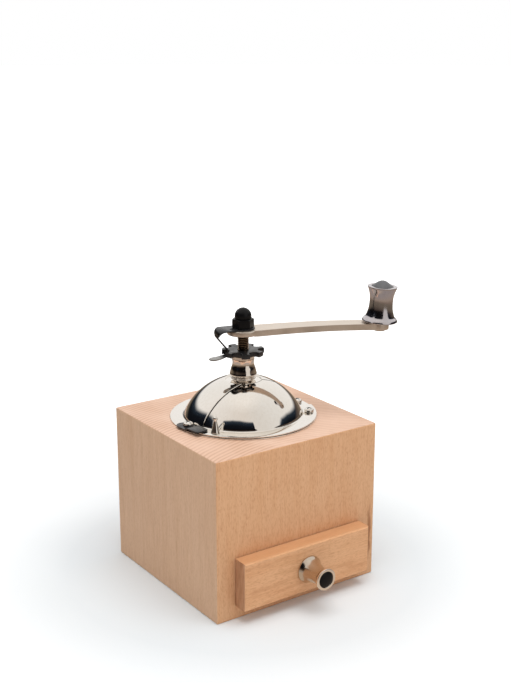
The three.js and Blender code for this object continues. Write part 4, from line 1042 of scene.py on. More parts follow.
def dome_profile(flange_bottom, landed):
    """The section of the pressed sheet, from the flange over the foot's fillet to the land."""
    sizes = dome_sizes()
    centre = BOX_TOP - sizes.sink
    flange_top = flange_bottom + sizes.flange_sheet
    inner = sizes.radius - sizes.sheet
    foot_top = flange_top + sizes.fillet
    foot_out = math.sqrt(sizes.radius**2 - (foot_top - centre) ** 2) + sizes.fillet
    start = math.degrees(math.asin((foot_top - centre) / sizes.radius))
    inner_start = math.degrees(math.asin((flange_bottom - centre) / inner))
    rim, inner_rim = (math.degrees(math.acos(sizes.land / r)) for r in (sizes.radius, inner))
    lip = sizes.flange_sheet / 3
    edge = sizes.flange - lip
    land = [
        (sizes.land - LAND_FALL, LAND_TOP),
        (LAND_HOLE, LAND_TOP),
        (LAND_HOLE, LAND_TOP - sizes.sheet),
        (sizes.land - LAND_FALL - sizes.sheet, LAND_TOP - sizes.sheet),
    ]
    return [
        (edge, flange_bottom),
        *arc((edge, flange_bottom + lip), lip, -60, 0, 2),
        *corner(sizes.flange, flange_top, lip, 0, 3),
        *arc((foot_out, foot_top), sizes.fillet, 270, 190, 6),
        *arc((0, centre), sizes.radius, start, rim, 44),
        *(land if landed else []),
        *arc((0, centre), inner, inner_rim, inner_start, 24),
    ]


def front_region(left, right, keep, bottom):
    """What lies in front of the slit, less the land: the door's part of the dome."""
    far = dome_sizes().flange + OVERRUN
    top = LAND_TOP + 4 * OVERRUN
    region = prism([(-far, -far), (far, -far), (far, right), (0, right), (0, left), (-far, left)],
                   bottom, top)
    return combine(region, rod(keep, bottom - OVERRUN, top + OVERRUN, WIDE_STEPS))


class MILL_OT_dome(bpy.types.Operator):
    """Spin the dome's two pressings, and part them along the slit"""
    bl_idname = "mill.dome"
    bl_label = "Dome"

    def execute(self, context):
        sizes = dome_sizes()
        rear = spun(dome_profile(RING_BOTTOM, True), sizes.steps, loop=True)
        combine(rear, front_region(sizes.slit_gap - sizes.slit, RING_END_STEP - sizes.slit,
                                   sizes.land + GAP, RING_BOTTOM + sizes.flange_sheet))
        eased(rear, DOME_EDGE, 1, CREASE_ANGLE)
        dressed(rear, "rear_pressing", "polished_nickel", "case", "polished_nickel", "rear_dome",
                angle=40)
        door = spun(dome_profile(DOOR_BOTTOM, False), sizes.steps, loop=True)
        right = DOOR_END_STEP - sizes.slit
        combine(door, front_region(-sizes.slit, right, sizes.land + 2 * GAP,
                                   DOOR_BOTTOM - OVERRUN), "INTERSECT")
        door_top = DOOR_BOTTOM + sizes.flange_sheet
        foot = math.sqrt(sizes.radius**2 - (door_top - BOX_TOP + sizes.sink) ** 2) + sizes.fillet
        combine(door, block((foot, -sizes.slit - DOOR_FLANGE_STEP, DOOR_BOTTOM - OVERRUN),
                            (sizes.flange + OVERRUN, right + OVERRUN, door_top + OVERRUN)))
        eased(door, DOME_EDGE, 1, CREASE_ANGLE)
        dressed(door, "door_pressing", "polished_nickel", "door", "polished_nickel", "dome_door",
                angle=40)
        return {"FINISHED"}


# Ring fittings

SCREW_HEAD = 3.35 * MM
SCREW_HEAD_EDGE = 0.2 * MM
SCREW_RISE = 2.6 * MM
SCREW_RIM_SHARE = 0.35
SCREW_SHANK = 1.7 * MM
SCREW_NECK = 1.4 * MM
SCREW_THREAD_DEPTH = 0.4 * MM
SCREW_PITCH = 1.5 * MM
# Where the thread starts above the point, and how much of the screw it leaves plain.
SCREW_POINT, SCREW_PLAIN = 2.7 * MM, 4 * MM
SCREW_EDGE = 0.08 * MM
# Of the cross recess: half its length, half its width, its depth and its turn.
CROSS_REACH, CROSS_HALF, CROSS_DEPTH = 2 * MM, 0.42 * MM, 1.3 * MM
CROSS_TURN = math.radians(20)
PIN_STEM = 1.4 * MM
PIN_SOLE = 2.8 * MM
PIN_FOOT = 2.9 * MM
PIN_NECK = 1.05 * MM
PIN_BALL = 1.5 * MM
PIN_SOLE_EDGE = 0.15 * MM
# The pin's side above its foot, as shares of (the foot's radius, the height).
PIN_SIDE_SHARES = ((1, 0.06), (0.72, 0.35))
LATCH_EDGE = 0.2 * MM


def ring_screw(node):
    """A pan-headed wood screw with a cross recess and a tapered thread."""
    low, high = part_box(node)
    centre = (low + high) / 2
    head, point = high.z - SCREW_RISE, low.z
    thread = []
    for i in range(int((head - point - SCREW_PLAIN) / SCREW_PITCH)):
        base = point + SCREW_POINT + i * SCREW_PITCH
        thread += [(SCREW_SHANK - SCREW_THREAD_DEPTH, base), (SCREW_SHANK, base + SCREW_PITCH / 2)]
    piece = spun([
        (0, point),
        *thread,
        (SCREW_NECK, head),
        (SCREW_HEAD - SCREW_HEAD_EDGE, head),
        *corner(SCREW_HEAD, head, SCREW_HEAD_EDGE, -90, 3),
        *crown(SCREW_HEAD, head + SCREW_RISE * SCREW_RIM_SHARE, high.z)[1:],
    ], SMALL_STEPS)
    for turn in (0, QUARTER):
        slot = block((-CROSS_REACH, -CROSS_HALF, high.z - CROSS_DEPTH),
                     (CROSS_REACH, CROSS_HALF, high.z + OVERRUN))
        combine(piece, turned(slot, turn + CROSS_TURN))
    apply_place(piece, (centre.x, centre.y, 0))
    eased(piece, SCREW_EDGE, 1, CUT_ANGLE)
    return dressed(piece, node + "_turned", "polished_nickel", "case", "polished_nickel", node)


class MILL_OT_ring_screws(bpy.types.Operator):
    """Model the four screws of the ring, with their cross recesses"""
    bl_idname = "mill.ring_screws"
    bl_label = "Ring screws"

    def execute(self, context):
        for node in ("latch_screw", "ring_screw_right", "ring_screw_rear", "door_pivot_screw"):
            ring_screw(node)
        return {"FINISHED"}


class MILL_OT_latch(bpy.types.Operator):
    """Finish the latch plate, and turn the door's pull pin"""
    bl_idname = "mill.latch"
    bl_label = "Latch and pull pin"

    def execute(self, context):
        piece = eased(merged_copy("latch_plate"), LATCH_EDGE, 2, BLUNT_ANGLE)
        dressed(piece, "latch_spring", "black_oxide", "case", "black_steel", "latch_plate")
        low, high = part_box("pull_pin")
        centre = (low + high) / 2
        foot = DOOR_BOTTOM + dome_sizes().flange_sheet + JOINT
        side = [(reach, foot + rise) for reach, rise in
                scaled(PIN_SIDE_SHARES, PIN_FOOT, high.z - foot)]
        piece = spun([
            (0, low.z),
            (PIN_STEM, low.z),
            (PIN_STEM, foot),
            (PIN_SOLE, foot),
            *smooth([(PIN_FOOT, foot + PIN_SOLE_EDGE), *side, (PIN_NECK, high.z - 2 * PIN_BALL)]),
            *arc((0, high.z - PIN_BALL), PIN_BALL, -42, 89, 14),
            (0, high.z),
        ], SMALL_STEPS)
        apply_place(piece, (centre.x, centre.y, 0))
        dressed(piece, "pull_pin_turned", "polished_nickel", "door", "polished_nickel", "pull_pin",
                angle=50)
        return {"FINISHED"}


# Neck, wheel and spindle

NECK_TAIL = 5.8 * MM
# The neck's shoulder below its lowest ring, and the chamfer under it.
NECK_FOOT, NECK_CHAMFER, NECK_CHAMFER_RISE = 6.7 * MM, 0.4 * MM, 0.3 * MM
NECK_RING, NECK_BEAD, NECK_BEAD_HEIGHT = 8.6 * MM, 0.75 * MM, 1.7 * MM
# The groove over that ring, and the roll over the groove: (radius, height above the foot).
NECK_GROOVE = (7.75 * MM, 2.6 * MM)
NECK_ROLL = (
    (8.5 * MM, 3.4 * MM), (9.15 * MM, 4.2 * MM), (9.3 * MM, 4.8 * MM), (9.05 * MM, 5.6 * MM),
)
# The flared waist: (radius, share of the neck's height), and the top rim with its groove.
NECK_WAIST = (
    (8.45 * MM, 0.46), (7.7 * MM, 0.58), (7.4 * MM, 0.68), (7.55 * MM, 0.78), (7.85 * MM, 0.86),
)
NECK_RIM, NECK_RIM_GROOVE = 7.9 * MM, 7.4 * MM
NECK_RIM_GROOVE_SHARES = (0.868, 0.9)
NECK_RIM_SHARE = 0.91
NECK_RIM_FOOT_EDGE, NECK_RIM_EDGE = 0.2 * MM, 0.3 * MM
WASHER_EDGE = 0.15 * MM
WHEEL_NOTCHES = 7
WHEEL_RADIUS = 14.5 * MM
WHEEL_BITE = 3.5 * MM
WHEEL_BITE_CIRCLE = 13.4 * MM
WHEEL_PHASE = 13
WHEEL_SKIRT, WHEEL_PLATE, WHEEL_HUB, WHEEL_EDGE = 1.1 * MM, 1.1 * MM, 6.2 * MM, 0.5 * MM
CREST_RADIUS, THREAD_DEPTH = 3.9 * MM, 0.8 * MM
THREAD_STEPS = 32
# One turn of the thread's profile: its flanks and its crest, as shares of the pitch.
THREAD_SHARES = (0.14, 0.46, 0.62)
THREAD_BELOW_NECK = 6 * MM
# The rod's lower end, where it runs in the bridge.
JOURNAL, JOURNAL_EDGE, JOURNAL_HEIGHT = 3 * MM, 0.3 * MM, 6.8 * MM
ROD_TAPER, ROD_EDGE = 0.4 * MM, 0.12 * MM


class MILL_OT_neck(bpy.types.Operator):
    """Turn the neck collar and the thrust washer"""
    bl_idname = "mill.neck"
    bl_label = "Neck"

    def execute(self, context):
        height = NECK_TOP - NECK_BOTTOM
        bead = (NECK_RING - NECK_BEAD, NECK_BOTTOM + NECK_BEAD_HEIGHT)
        rise = [(reach, NECK_BOTTOM + up) for reach, up in (NECK_GROOVE, *NECK_ROLL)]
        waist = [(reach, NECK_BOTTOM + height * share) for reach, share in NECK_WAIST]
        piece = spun([
            (BORE, NECK_TAIL_BOTTOM),
            (NECK_TAIL, NECK_TAIL_BOTTOM),
            (NECK_TAIL, NECK_BOTTOM),
            (NECK_FOOT + NECK_CHAMFER, NECK_BOTTOM),
            (NECK_FOOT, NECK_BOTTOM + NECK_CHAMFER_RISE),
            *arc(bead, NECK_BEAD, -110, 90, 12),
            rise[0],
            *smooth([*rise[1:], *waist]),
            *((NECK_RIM_GROOVE, NECK_BOTTOM + height * share) for share in NECK_RIM_GROOVE_SHARES),
            *corner(NECK_RIM, NECK_BOTTOM + height * NECK_RIM_SHARE, NECK_RIM_FOOT_EDGE, -90, 3),
            *corner(NECK_RIM, NECK_TOP, NECK_RIM_EDGE, 0),
            (BORE, NECK_TOP),
        ], WIDE_STEPS, loop=True)
        dressed(piece, "neck_turned", "turned_nickel", "case", "polished_nickel", "neck_collar",
                angle=45)
        low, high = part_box("thrust_washer")
        piece = spun([(BORE, low.z), (high.x, low.z), (high.x, high.z), (BORE, high.z)],
                     ROUND_STEPS, loop=True)
        dressed(eased(piece, WASHER_EDGE), "thrust_washer_turned", "zinc_steel", "rotor",
                "plain_steel", "thrust_washer")
        return {"FINISHED"}


def wheel_outline(inset, turn):
    """A circle with round notches. The inset moves all of it inward."""
    radius, bite, circle = WHEEL_RADIUS - inset, WHEEL_BITE + inset, WHEEL_BITE_CIRCLE
    reach = (radius**2 + circle**2 - bite**2) / (2 * circle)
    lobe = math.degrees(math.acos(reach / radius))
    edge = 180 - math.degrees(math.acos((reach - circle) / -bite))
    step = 360 / WHEEL_NOTCHES
    points = []
    for i in range(WHEEL_NOTCHES):
        angle = turn + 180 + i * step
        centre = (circle * math.cos(math.radians(angle)), circle * math.sin(math.radians(angle)))
        points += arc(centre, bite, angle - edge, angle + edge - 360, 14)[:-1]
        points += arc((0, 0), radius, angle + lobe, angle + step - lobe, 8)[:-1]
    return points


class MILL_OT_wheel(bpy.types.Operator):
    """Model the notched adjusting wheel: a thin plate with a skirt and a hub"""
    bl_idname = "mill.wheel"
    bl_label = "Adjusting wheel"

    def execute(self, context):
        turn = math.degrees(crank_sizes().turn) + WHEEL_PHASE
        below = WHEEL_BOTTOM - OVERRUN
        piece = prism(wheel_outline(0, turn), WHEEL_BOTTOM, WHEEL_TOP)
        hollow = prism(wheel_outline(WHEEL_SKIRT, turn), below, WHEEL_TOP - WHEEL_PLATE)
        combine(piece, combine(hollow, rod(WHEEL_HUB, below - OVERRUN, WHEEL_TOP)))
        combine(piece, rod(BORE, below, WHEEL_TOP + OVERRUN))
        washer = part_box("thrust_washer")[1]
        combine(piece, rod(washer.x + GAP, below, washer.z + JOINT))
        eased(piece, WHEEL_EDGE, 4, CUT_ANGLE)
        dressed(piece, "adjusting_wheel_pressed", "black_oxide", "wheel", "black_steel",
                "adjusting_wheel", angle=40)
        return {"FINISHED"}


class MILL_OT_spindle(bpy.types.Operator):
    """Turn the spindle's rod and cut its thread"""
    bl_idname = "mill.spindle"
    bl_label = "Spindle"

    def execute(self, context):
        pitch, root = crank_sizes().pitch, CREST_RADIUS - THREAD_DEPTH
        start = NECK_TOP - THREAD_BELOW_NECK
        low, high = start - 2 * pitch, SPINDLE_TOP + 2 * pitch
        foot, rise, fall = (low + pitch * share for share in THREAD_SHARES)
        piece = drawn([
            (root, 0, low),
            (root, 0, foot),
            (CREST_RADIUS, 0, rise),
            (CREST_RADIUS, 0, fall),
            (root, 0, low + pitch),
        ])
        modified(piece, "SCREW", axis="Z", steps=THREAD_STEPS, render_steps=THREAD_STEPS,
                 screw_offset=pitch, iterations=int((high - low) / pitch),
                 use_merge_vertices=True, merge_threshold=MERGE)
        close_up(piece)
        sliced(piece, (0, 0, start), (0, 0, -1))
        sliced(piece, (0, 0, SPINDLE_TOP), (0, 0, 1))
        close_up(piece)
        dressed(piece, "spindle_thread", "thread_steel", "spindle", "plain_steel", "spindle",
                angle=50)
        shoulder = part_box("bearing_bridge")[0].z + JOURNAL_HEIGHT
        piece = spun([
            (0, SPINDLE_BOTTOM),
            (JOURNAL - JOURNAL_EDGE, SPINDLE_BOTTOM),
            (JOURNAL, SPINDLE_BOTTOM + JOURNAL_EDGE),
            (JOURNAL, shoulder),
            (CREST_RADIUS, shoulder),
            (CREST_RADIUS, start - ROD_TAPER),
            (root, start - JOINT),
            (0, start - JOINT),
        ], SMALL_STEPS)
        dressed(eased(piece, ROD_EDGE), "spindle_rod", "zinc_steel", "spindle", "plain_steel",
                "spindle")
        return {"FINISHED"}


# Crank

ARM_START_SHARE = 0.07
ARM_STEPS = 24
ARM_EDGE = 0.45 * MM
HUB_RADIUS = 10.9 * MM
HUB_THICKNESS = 3.6 * MM
HUB_EDGE = 0.7 * MM
HUB_SEAT = 8.1 * MM
BOSS_RADIUS = 6.7 * MM
BOSS_DEPTH = 4.7 * MM
BOSS_TOP_EDGE = 0.5 * MM
NUT_FLATS = 13 * MM
NUT_HEX_HEIGHT = 6 * MM
NUT_CHAMFER = 0.45 * MM
NUT_SPARE = 0.05 * MM
NUT_EDGE = 0.22 * MM
NUT_DOME = 5.7 * MM
# The groove between hexagon and dome: its depth, and the heights at which it ends and opens out.
NUT_GROOVE, NUT_GROOVE_TOP, NUT_DOME_FOOT = 0.25 * MM, 0.3 * MM, 0.6 * MM
NUT_STRAIGHT = 0.9 * MM


def disc(radius, bottom, top, bottom_edge, top_edge, steps):
    """A turned disc whose two edges are rounded, each with its own radius."""
    return spun([
        (0, bottom),
        (radius - bottom_edge, bottom),
        *corner(radius, bottom, bottom_edge, -90),
        *corner(radius, top, top_edge, 0),
        (0, top),
    ], steps)


class MILL_OT_arm(bpy.types.Operator):
    """Model the cast crank arm: a tapering bar between its hub and its boss"""
    bl_idname = "mill.arm"
    bl_label = "Crank arm"

    def execute(self, context):
        sizes = crank_sizes()
        hub_top = arm_top(0)
        bottom = hub_top - HUB_THICKNESS
        start = ARM_START_SHARE
        shares = [start + (1 - start) * i / ARM_STEPS for i in range(ARM_STEPS + 1)]

        def half_width(share):
            return (sizes.root + (sizes.tip - sizes.root) * math.sqrt(share)) / 2

        low = arm_top(start) - sizes.thickness
        piece = block((shares[0] * sizes.reach, -half_width(start), low),
                      (shares[1] * sizes.reach, half_width(start), low + sizes.thickness))
        edit(piece)
        choose(piece, "FACE", lambda f: f.normal.x > 0.9)
        for before, share in zip(shares[1:], shares[2:]):
            step = Vector(((share - before) * sizes.reach, 0, arm_top(share) - arm_top(before)))
            extrude(step)
            bpy.ops.transform.resize(value=(1, half_width(share) / half_width(before), 1))
        done(piece)
        combine(piece, disc(HUB_RADIUS, bottom, hub_top, HUB_EDGE, HUB_EDGE, HUB_STEPS), "UNION")
        boss = disc(BOSS_RADIUS, -BOSS_DEPTH, 0, HUB_EDGE, BOSS_TOP_EDGE, ROUND_STEPS)
        apply_place(boss, (sizes.reach, 0, arm_top(1)), (0, sizes.tilt, 0))
        combine(piece, boss, "UNION")
        combine(piece, rod(HUB_SEAT, hub_top, hub_top + OVERRUN))
        combine(piece, rod(BORE, bottom - OVERRUN, hub_top + OVERRUN))
        turned(eased(piece, ARM_EDGE, 3), sizes.turn)
        dressed(piece, "crank_arm_cast", "cast_nickel", "spindle", "cast_nickel", "crank_arm",
                angle=45)
        return {"FINISHED"}


class MILL_OT_acorn(bpy.types.Operator):
    """Model the cap nut: a chamfered hexagon under a domed cap"""
    bl_idname = "mill.acorn"
    bl_label = "Acorn nut"

    def execute(self, context):
        reach = NUT_FLATS / 2 / math.cos(math.pi / 6)
        shoulder = ACORN_BOTTOM + NUT_HEX_HEIGHT
        piece = rod(reach, ACORN_BOTTOM, shoulder, 6)
        combine(piece, spun([
            (0, ACORN_BOTTOM - OVERRUN),
            (reach - NUT_CHAMFER, ACORN_BOTTOM),
            (reach + NUT_SPARE, ACORN_BOTTOM + NUT_CHAMFER),
            (reach + NUT_SPARE, shoulder - NUT_CHAMFER),
            (NUT_FLATS / 2, shoulder + NUT_SPARE),
            (0, shoulder + NUT_SPARE),
        ], WIDE_STEPS), "INTERSECT")
        eased(piece, NUT_EDGE, 3, BLUNT_ANGLE)
        straight = max(ACORN_TOP - shoulder - NUT_DOME, NUT_STRAIGHT)
        combine(piece, spun([
            (0, ACORN_BOTTOM + JOINT),
            (NUT_DOME - NUT_GROOVE, ACORN_BOTTOM + JOINT),
            (NUT_DOME - NUT_GROOVE, shoulder + NUT_GROOVE_TOP),
            (NUT_DOME, shoulder + NUT_DOME_FOOT),
            *crown(NUT_DOME, shoulder + straight, ACORN_TOP, 20),
        ], ROUND_STEPS), "UNION")
        turned(piece, crank_sizes().turn)
        dressed(piece, "acorn_nut_moulded", "black_nylon", "spindle", "black_plastic", "acorn_nut",
                angle=32)
        return {"FINISHED"}


# Locking clip

CLIP_SKEW = math.radians(13)
CLIP_WIDTH = 14.4 * MM
CLIP_WAIST = 4.6 * MM
CLIP_WAIST_FLARE = 1.15
CLIP_REACH = 15 * MM
CLIP_BEND = 3.8 * MM
# How much of the strap's extra width over the leg's is left along the bend.
CLIP_BEND_SHARES = (1.0, 0.97, 0.9, 0.78, 0.6, 0.4)
CLIP_BEND_TAIL = 1.2 * MM
CLIP_INSET = 11.65 * MM
CLIP_TONGUE = 6.4 * MM
CLIP_TONGUE_REACH = 24.2 * MM
CLIP_TONGUE_DROP = 1.8 * MM
CLIP_EYE = 8 * MM
CLIP_EYE_BORE = 3.9 * MM
CLIP_EDGE = 0.15 * MM
# The tab that is bent down out of the strap, and the window that it leaves.
TAB_REACH, TAB_HALF, TAB_DROP, WINDOW_HALF = 9.9 * MM, 1.2 * MM, 3.9 * MM, 1.5 * MM
TAB_TURN = math.radians(18)


def clip_route():
    """The leaf's middle line as (distance out, height, width) places."""
    sheet = crank_sizes().sheet
    centre = (CLIP_REACH, CLIP_TOP - sheet / 2 - CLIP_BEND)
    bend = [
        (out, height, CLIP_WAIST + (CLIP_WIDTH - CLIP_WAIST) * share)
        for (out, height), share in zip(arc(centre, CLIP_BEND, 90, 0, 5), CLIP_BEND_SHARES)
    ]
    leg_out, leg_end = CLIP_REACH + CLIP_BEND, centre[1] - CLIP_BEND_TAIL
    notch_top = WHEEL_TOP + sheet
    tip = CLIP_TONGUE / 3
    return [
        *bend,
        (leg_out, leg_end, CLIP_WAIST * CLIP_WAIST_FLARE),
        ((leg_out + CLIP_INSET) / 2, (leg_end + notch_top) / 2, CLIP_WAIST),
        (CLIP_INSET, notch_top, CLIP_WAIST),
        (CLIP_INSET, (WHEEL_TOP + WHEEL_BOTTOM) / 2, CLIP_WAIST),
        (CLIP_INSET + sheet, WHEEL_BOTTOM, CLIP_WAIST),
        ((CLIP_INSET + CLIP_TONGUE_REACH) / 2, WHEEL_BOTTOM - sheet - CLIP_TONGUE_DROP / 3,
         CLIP_TONGUE),
        (CLIP_TONGUE_REACH - tip, WHEEL_BOTTOM - CLIP_TONGUE_DROP, CLIP_TONGUE),
        (CLIP_TONGUE_REACH, WHEEL_BOTTOM - CLIP_TONGUE_DROP, tip),
    ]


def clip_strap(turn):
    """The flat strap round the spindle, with its tab bent down out of a window."""
    sheet, half = crank_sizes().sheet, CLIP_WIDTH / 2
    bottom = CLIP_TOP - sheet
    meet = math.degrees(math.asin(half / CLIP_EYE))
    outline = arc((0, 0), CLIP_EYE, meet - 180, 180 - meet, 40)
    end = JOINT / 4 - CLIP_REACH
    strap = prism([*outline, (end, half), (end, -half)], bottom, CLIP_TOP)
    out = JOINT - TAB_REACH
    tab = block((out, -TAB_HALF, bottom - TAB_DROP), (out + sheet, TAB_HALF, bottom + sheet / 2))
    window = block((out - sheet, -WINDOW_HALF, bottom - OVERRUN),
                   (out, WINDOW_HALF, CLIP_TOP + OVERRUN))
    combine(combine(strap, turned(window, TAB_TURN)), turned(tab, TAB_TURN), "UNION")
    combine(strap, rod(CLIP_EYE_BORE, bottom - OVERRUN, CLIP_TOP + OVERRUN))
    turned(eased(strap, CLIP_EDGE, 2, CUT_ANGLE), turn)
    return dressed(strap, "clip_strap_pressed", "black_oxide", "spindle", "black_steel",
                   "clip_strap")


def clip_leaf(turn):
    """The bent leaf: a line across its root, drawn along the route and thickened."""
    route = smooth(clip_route(), 6)
    out, height, width = route[0]
    leaf = edit(drawn([(-out, -width / 2, height), (-out, width / 2, height)]))
    for (out, height, width), (next_out, next_height, next_width) in zip(route, route[1:]):
        step = Vector((out - next_out, 0, next_height - height))
        extrude(step)
        bpy.ops.transform.resize(value=(1, next_width / width, 1))
    done(leaf)
    modified(leaf, "SOLIDIFY", thickness=crank_sizes().sheet, offset=0, use_even_offset=True)
    close_up(leaf)
    turned(eased(leaf, CLIP_EDGE, 2, CUT_ANGLE), turn)
    dressed(leaf, "clip_leaf_bent", "spring_leaf", None, "black_steel", "clip_leaf", angle=40)
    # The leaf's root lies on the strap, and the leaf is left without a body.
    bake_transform(leaf)
    return leaf


class MILL_OT_clip(bpy.types.Operator):
    """Model the locking clip: its strap round the spindle and its bent leaf"""
    bl_idname = "mill.clip"
    bl_label = "Locking clip"

    def execute(self, context):
        turn = crank_sizes().turn + CLIP_SKEW
        clip_strap(turn)
        clip_leaf(turn)
        return {"FINISHED"}


# Inside

# (node, finish, body, slot, angle up to which its edges shade smooth)
INSIDE = (
    ("burr_ring", "hardened_steel", "case", "hardened_steel", 40),
    ("burr_cone", "hardened_steel", "spindle", "hardened_steel", 40),
    ("bearing_bridge", "zinc_steel", "case", "plain_steel", 35),
    ("mill_bolt_left", "zinc_steel", "case", "plain_steel", 35),
    ("mill_bolt_right", "zinc_steel", "case", "plain_steel", 35),
    ("bridge_nut_left", "zinc_steel", "case", "plain_steel", 25),
    ("bridge_nut_right", "zinc_steel", "case", "plain_steel", 25),
    ("neck_nut", "zinc_steel", "case", "plain_steel", 25),
    ("spring_collar", "zinc_steel", "spindle", "plain_steel", 35),
    ("cone_pin", "zinc_steel", "spindle", "plain_steel", 35),
)
INSIDE_EDGE = 0.12 * MM
INSIDE_ANGLE = math.radians(30)
HOPPER_SHEET, HOPPER_MITER, HOPPER_EDGE = 0.8 * MM, 0.32 * MM, 0.15 * MM
HOPPER_MOUTH, HOPPER_FLOOR, HOPPER_THROAT = 35 * MM, 24.5 * MM, 15.6 * MM
HOPPER_WALL, HOPPER_CHAMFER = 14 * MM, 0.6 * MM
SPRING_WIRE, SPRING_COIL = 0.55 * MM, 5.3 * MM
SPRING_TURNS, SPRING_STEPS = 6, 28


def hopper():
    """The pressed cone under the dome, with a flange at its mouth and a hole in its floor."""
    low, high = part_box("hopper")
    sheet, mouth, throat = HOPPER_SHEET, HOPPER_MOUTH, HOPPER_THROAT
    wall_foot, floor = high.z - HOPPER_WALL, low.z + sheet
    profile = [
        (high.x, high.z - sheet),
        (high.x, high.z),
        (mouth + HOPPER_CHAMFER, high.z),
        (mouth, high.z - HOPPER_CHAMFER),
        (mouth, wall_foot),
        (HOPPER_FLOOR, floor),
        (throat, floor),
        (throat, floor - sheet),
        (HOPPER_FLOOR + HOPPER_MITER, floor - sheet),
        (mouth + sheet, wall_foot - HOPPER_MITER),
        (mouth + sheet, high.z - sheet),
    ]
    piece = eased(spun(profile, WIDE_STEPS, loop=True), HOPPER_EDGE, 1, INSIDE_ANGLE)
    return dressed(piece, "hopper_pressed", "polished_nickel", "case", "polished_nickel", "hopper",
                   angle=40)


def load_spring():
    """A round wire with a flat turn at each end and a helix between them."""
    low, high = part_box("load_spring")
    wire, turns = SPRING_WIRE, SPRING_TURNS
    bottom, top = low.z + wire, high.z - wire
    closing = 2 * wire + 2 * GAP
    points = []
    for i in range(turns * SPRING_STEPS + 1):
        turn = i / SPRING_STEPS
        live = min(max((turn - 1) / (turns - 2), 0), 1)
        lead = min(turn, 1) + max(turn - turns + 1, 0)
        climb = lead * closing + live * (top - bottom - 2 * closing)
        angle = turn * FULL_TURN + crank_sizes().turn
        points.append((SPRING_COIL * math.cos(angle), SPRING_COIL * math.sin(angle),
                       bottom + climb))
    only(drawn(points))
    bpy.ops.object.convert(target="CURVE")
    curve = bpy.context.object.data
    curve.bevel_depth = wire
    curve.bevel_resolution = 3
    curve.use_fill_caps = True
    bpy.ops.object.convert(target="MESH")
    piece = close_up(bpy.context.object)
    dressed(piece, "load_spring_wound", "zinc_steel", None, "plain_steel", "load_spring", angle=60)
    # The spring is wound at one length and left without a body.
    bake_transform(piece)
    return piece


class MILL_OT_inside(bpy.types.Operator):
    """Finish the burrs, the bridge and the fasteners, and spin the hopper and the spring"""
    bl_idname = "mill.inside"
    bl_label = "Inside"

    def execute(self, context):
        for node, finish, body, slot, angle in INSIDE:
            piece = eased(merged_copy(node), INSIDE_EDGE, 1, INSIDE_ANGLE)
            dressed(piece, node + "_machined", finish, body, slot, node, angle=angle)
        hopper()
        load_spring()
        return {"FINISHED"}


# Stage

WHITE = (1, 1, 1, 1)
CAMERA_PLACE = Vector((-428.6, -630.8, 379.1)) * MM
CAMERA_TARGET = Vector((10.2, 0, 162.1)) * MM
SENSOR_WIDTH = 36
FLOOR_RADIUS = 8
STUDIO_RADIUS = 1.6
TENT_HEIGHT = 0.12
NEAR_FLOOR = 125 * MM
PAPER_FIBRE = 2 * MM
FLOOR_EDGE_LIFT = 0.3
TABLE_FAR = 0.9
LAMP_PLACE = (-0.02, -0.28, 1.3)
LAMP_AIM = (0, 0, 0.1)
LAMP_SIZE = (1.1, 0.9)
LAMP_COLOUR = (1.0, 0.985, 0.965)
# The top edges of the studio's dark flags, as (direction round from the camera, height) in degrees.
# To the right of the camera there is a gap, and none stands behind.
FLAGS = (
    (-180, 1), (-165, 5), (-150, 10), (-120, 21), (-104, 29), (-92, 35), (-78, 38), (-70, 37),
    (-63, 29), (-52, 28), (-46, 43), (-26, 48), (-8, 49), (8, 47), (24, 45), (27, -3), (58, -3),
    (64, 12), (80, 26), (88, 29), (105, 25), (120, 18), (135, 11), (150, 6), (165, 2), (180, 1),
)
# How softly a flag's edge shows: (direction, share of the widest).
SOFTNESS = ((-180, 0.15), (-75, 0.2), (-45, 0.1), (20, 0.1), (60, 0.15), (180, 0.15))
SOFT_WIDEST = 20
# The colours of the silk above the flags, as (direction, hex colour).
SILK = (
    (-180, "FCFAF8"), (-150, "F6F4F1"), (-110, "F6F2EE"), (-70, "F0EBE6"), (-30, "E9E2DB"),
    (0, "E6DED6"), (40, "E3DED8"), (90, "EBE8E4"), (130, "F3F0EC"), (180, "FCFAF8"),
)
# The flags' colours from their top edge down, and the table's from the mill out to its far tone.
FLAG_TONES = [(0.0, "3A4450"), (0.14, "232C37"), (0.35, "12151B"), (1.0, "0D0B0B")]
TABLE_TONES = [
    (0.0, "CDBBA8"), (0.15, "CDBBA8"), (0.2, "ABA19C"), (0.35, "B2A59C"), (0.6, "B9A593"),
    (0.85, "948171"), (1.0, "7E7263"),
]


def background_rays(tree):
    """One for the rays that show the background: the camera's, and those of metal and glass."""
    path = add(tree, "LightPath").outputs
    mirrored = math_of(tree, "MAXIMUM", path["Is Glossy Ray"], path["Is Transmission Ray"])
    return math_of(tree, "MAXIMUM", path["Is Camera Ray"], mirrored)


def studio_world(level):
    """A white background for the camera, for metal and for glass, and an even light otherwise."""
    world = bpy.data.worlds.new("studio")
    bpy.context.scene.world = world
    world.use_nodes = True
    tree = world.node_tree
    tree.nodes.clear()
    white, even = (
        add(tree, "Background", {"Color": WHITE, "Strength": strength})
        for strength in (1.0, level)
    )
    shown = add(tree, "MixShader", {
        0: background_rays(tree), 1: even.outputs["Background"], 2: white.outputs["Background"],
    })
    add(tree, "OutputWorld", {"Surface": shown.outputs["Shader"]})


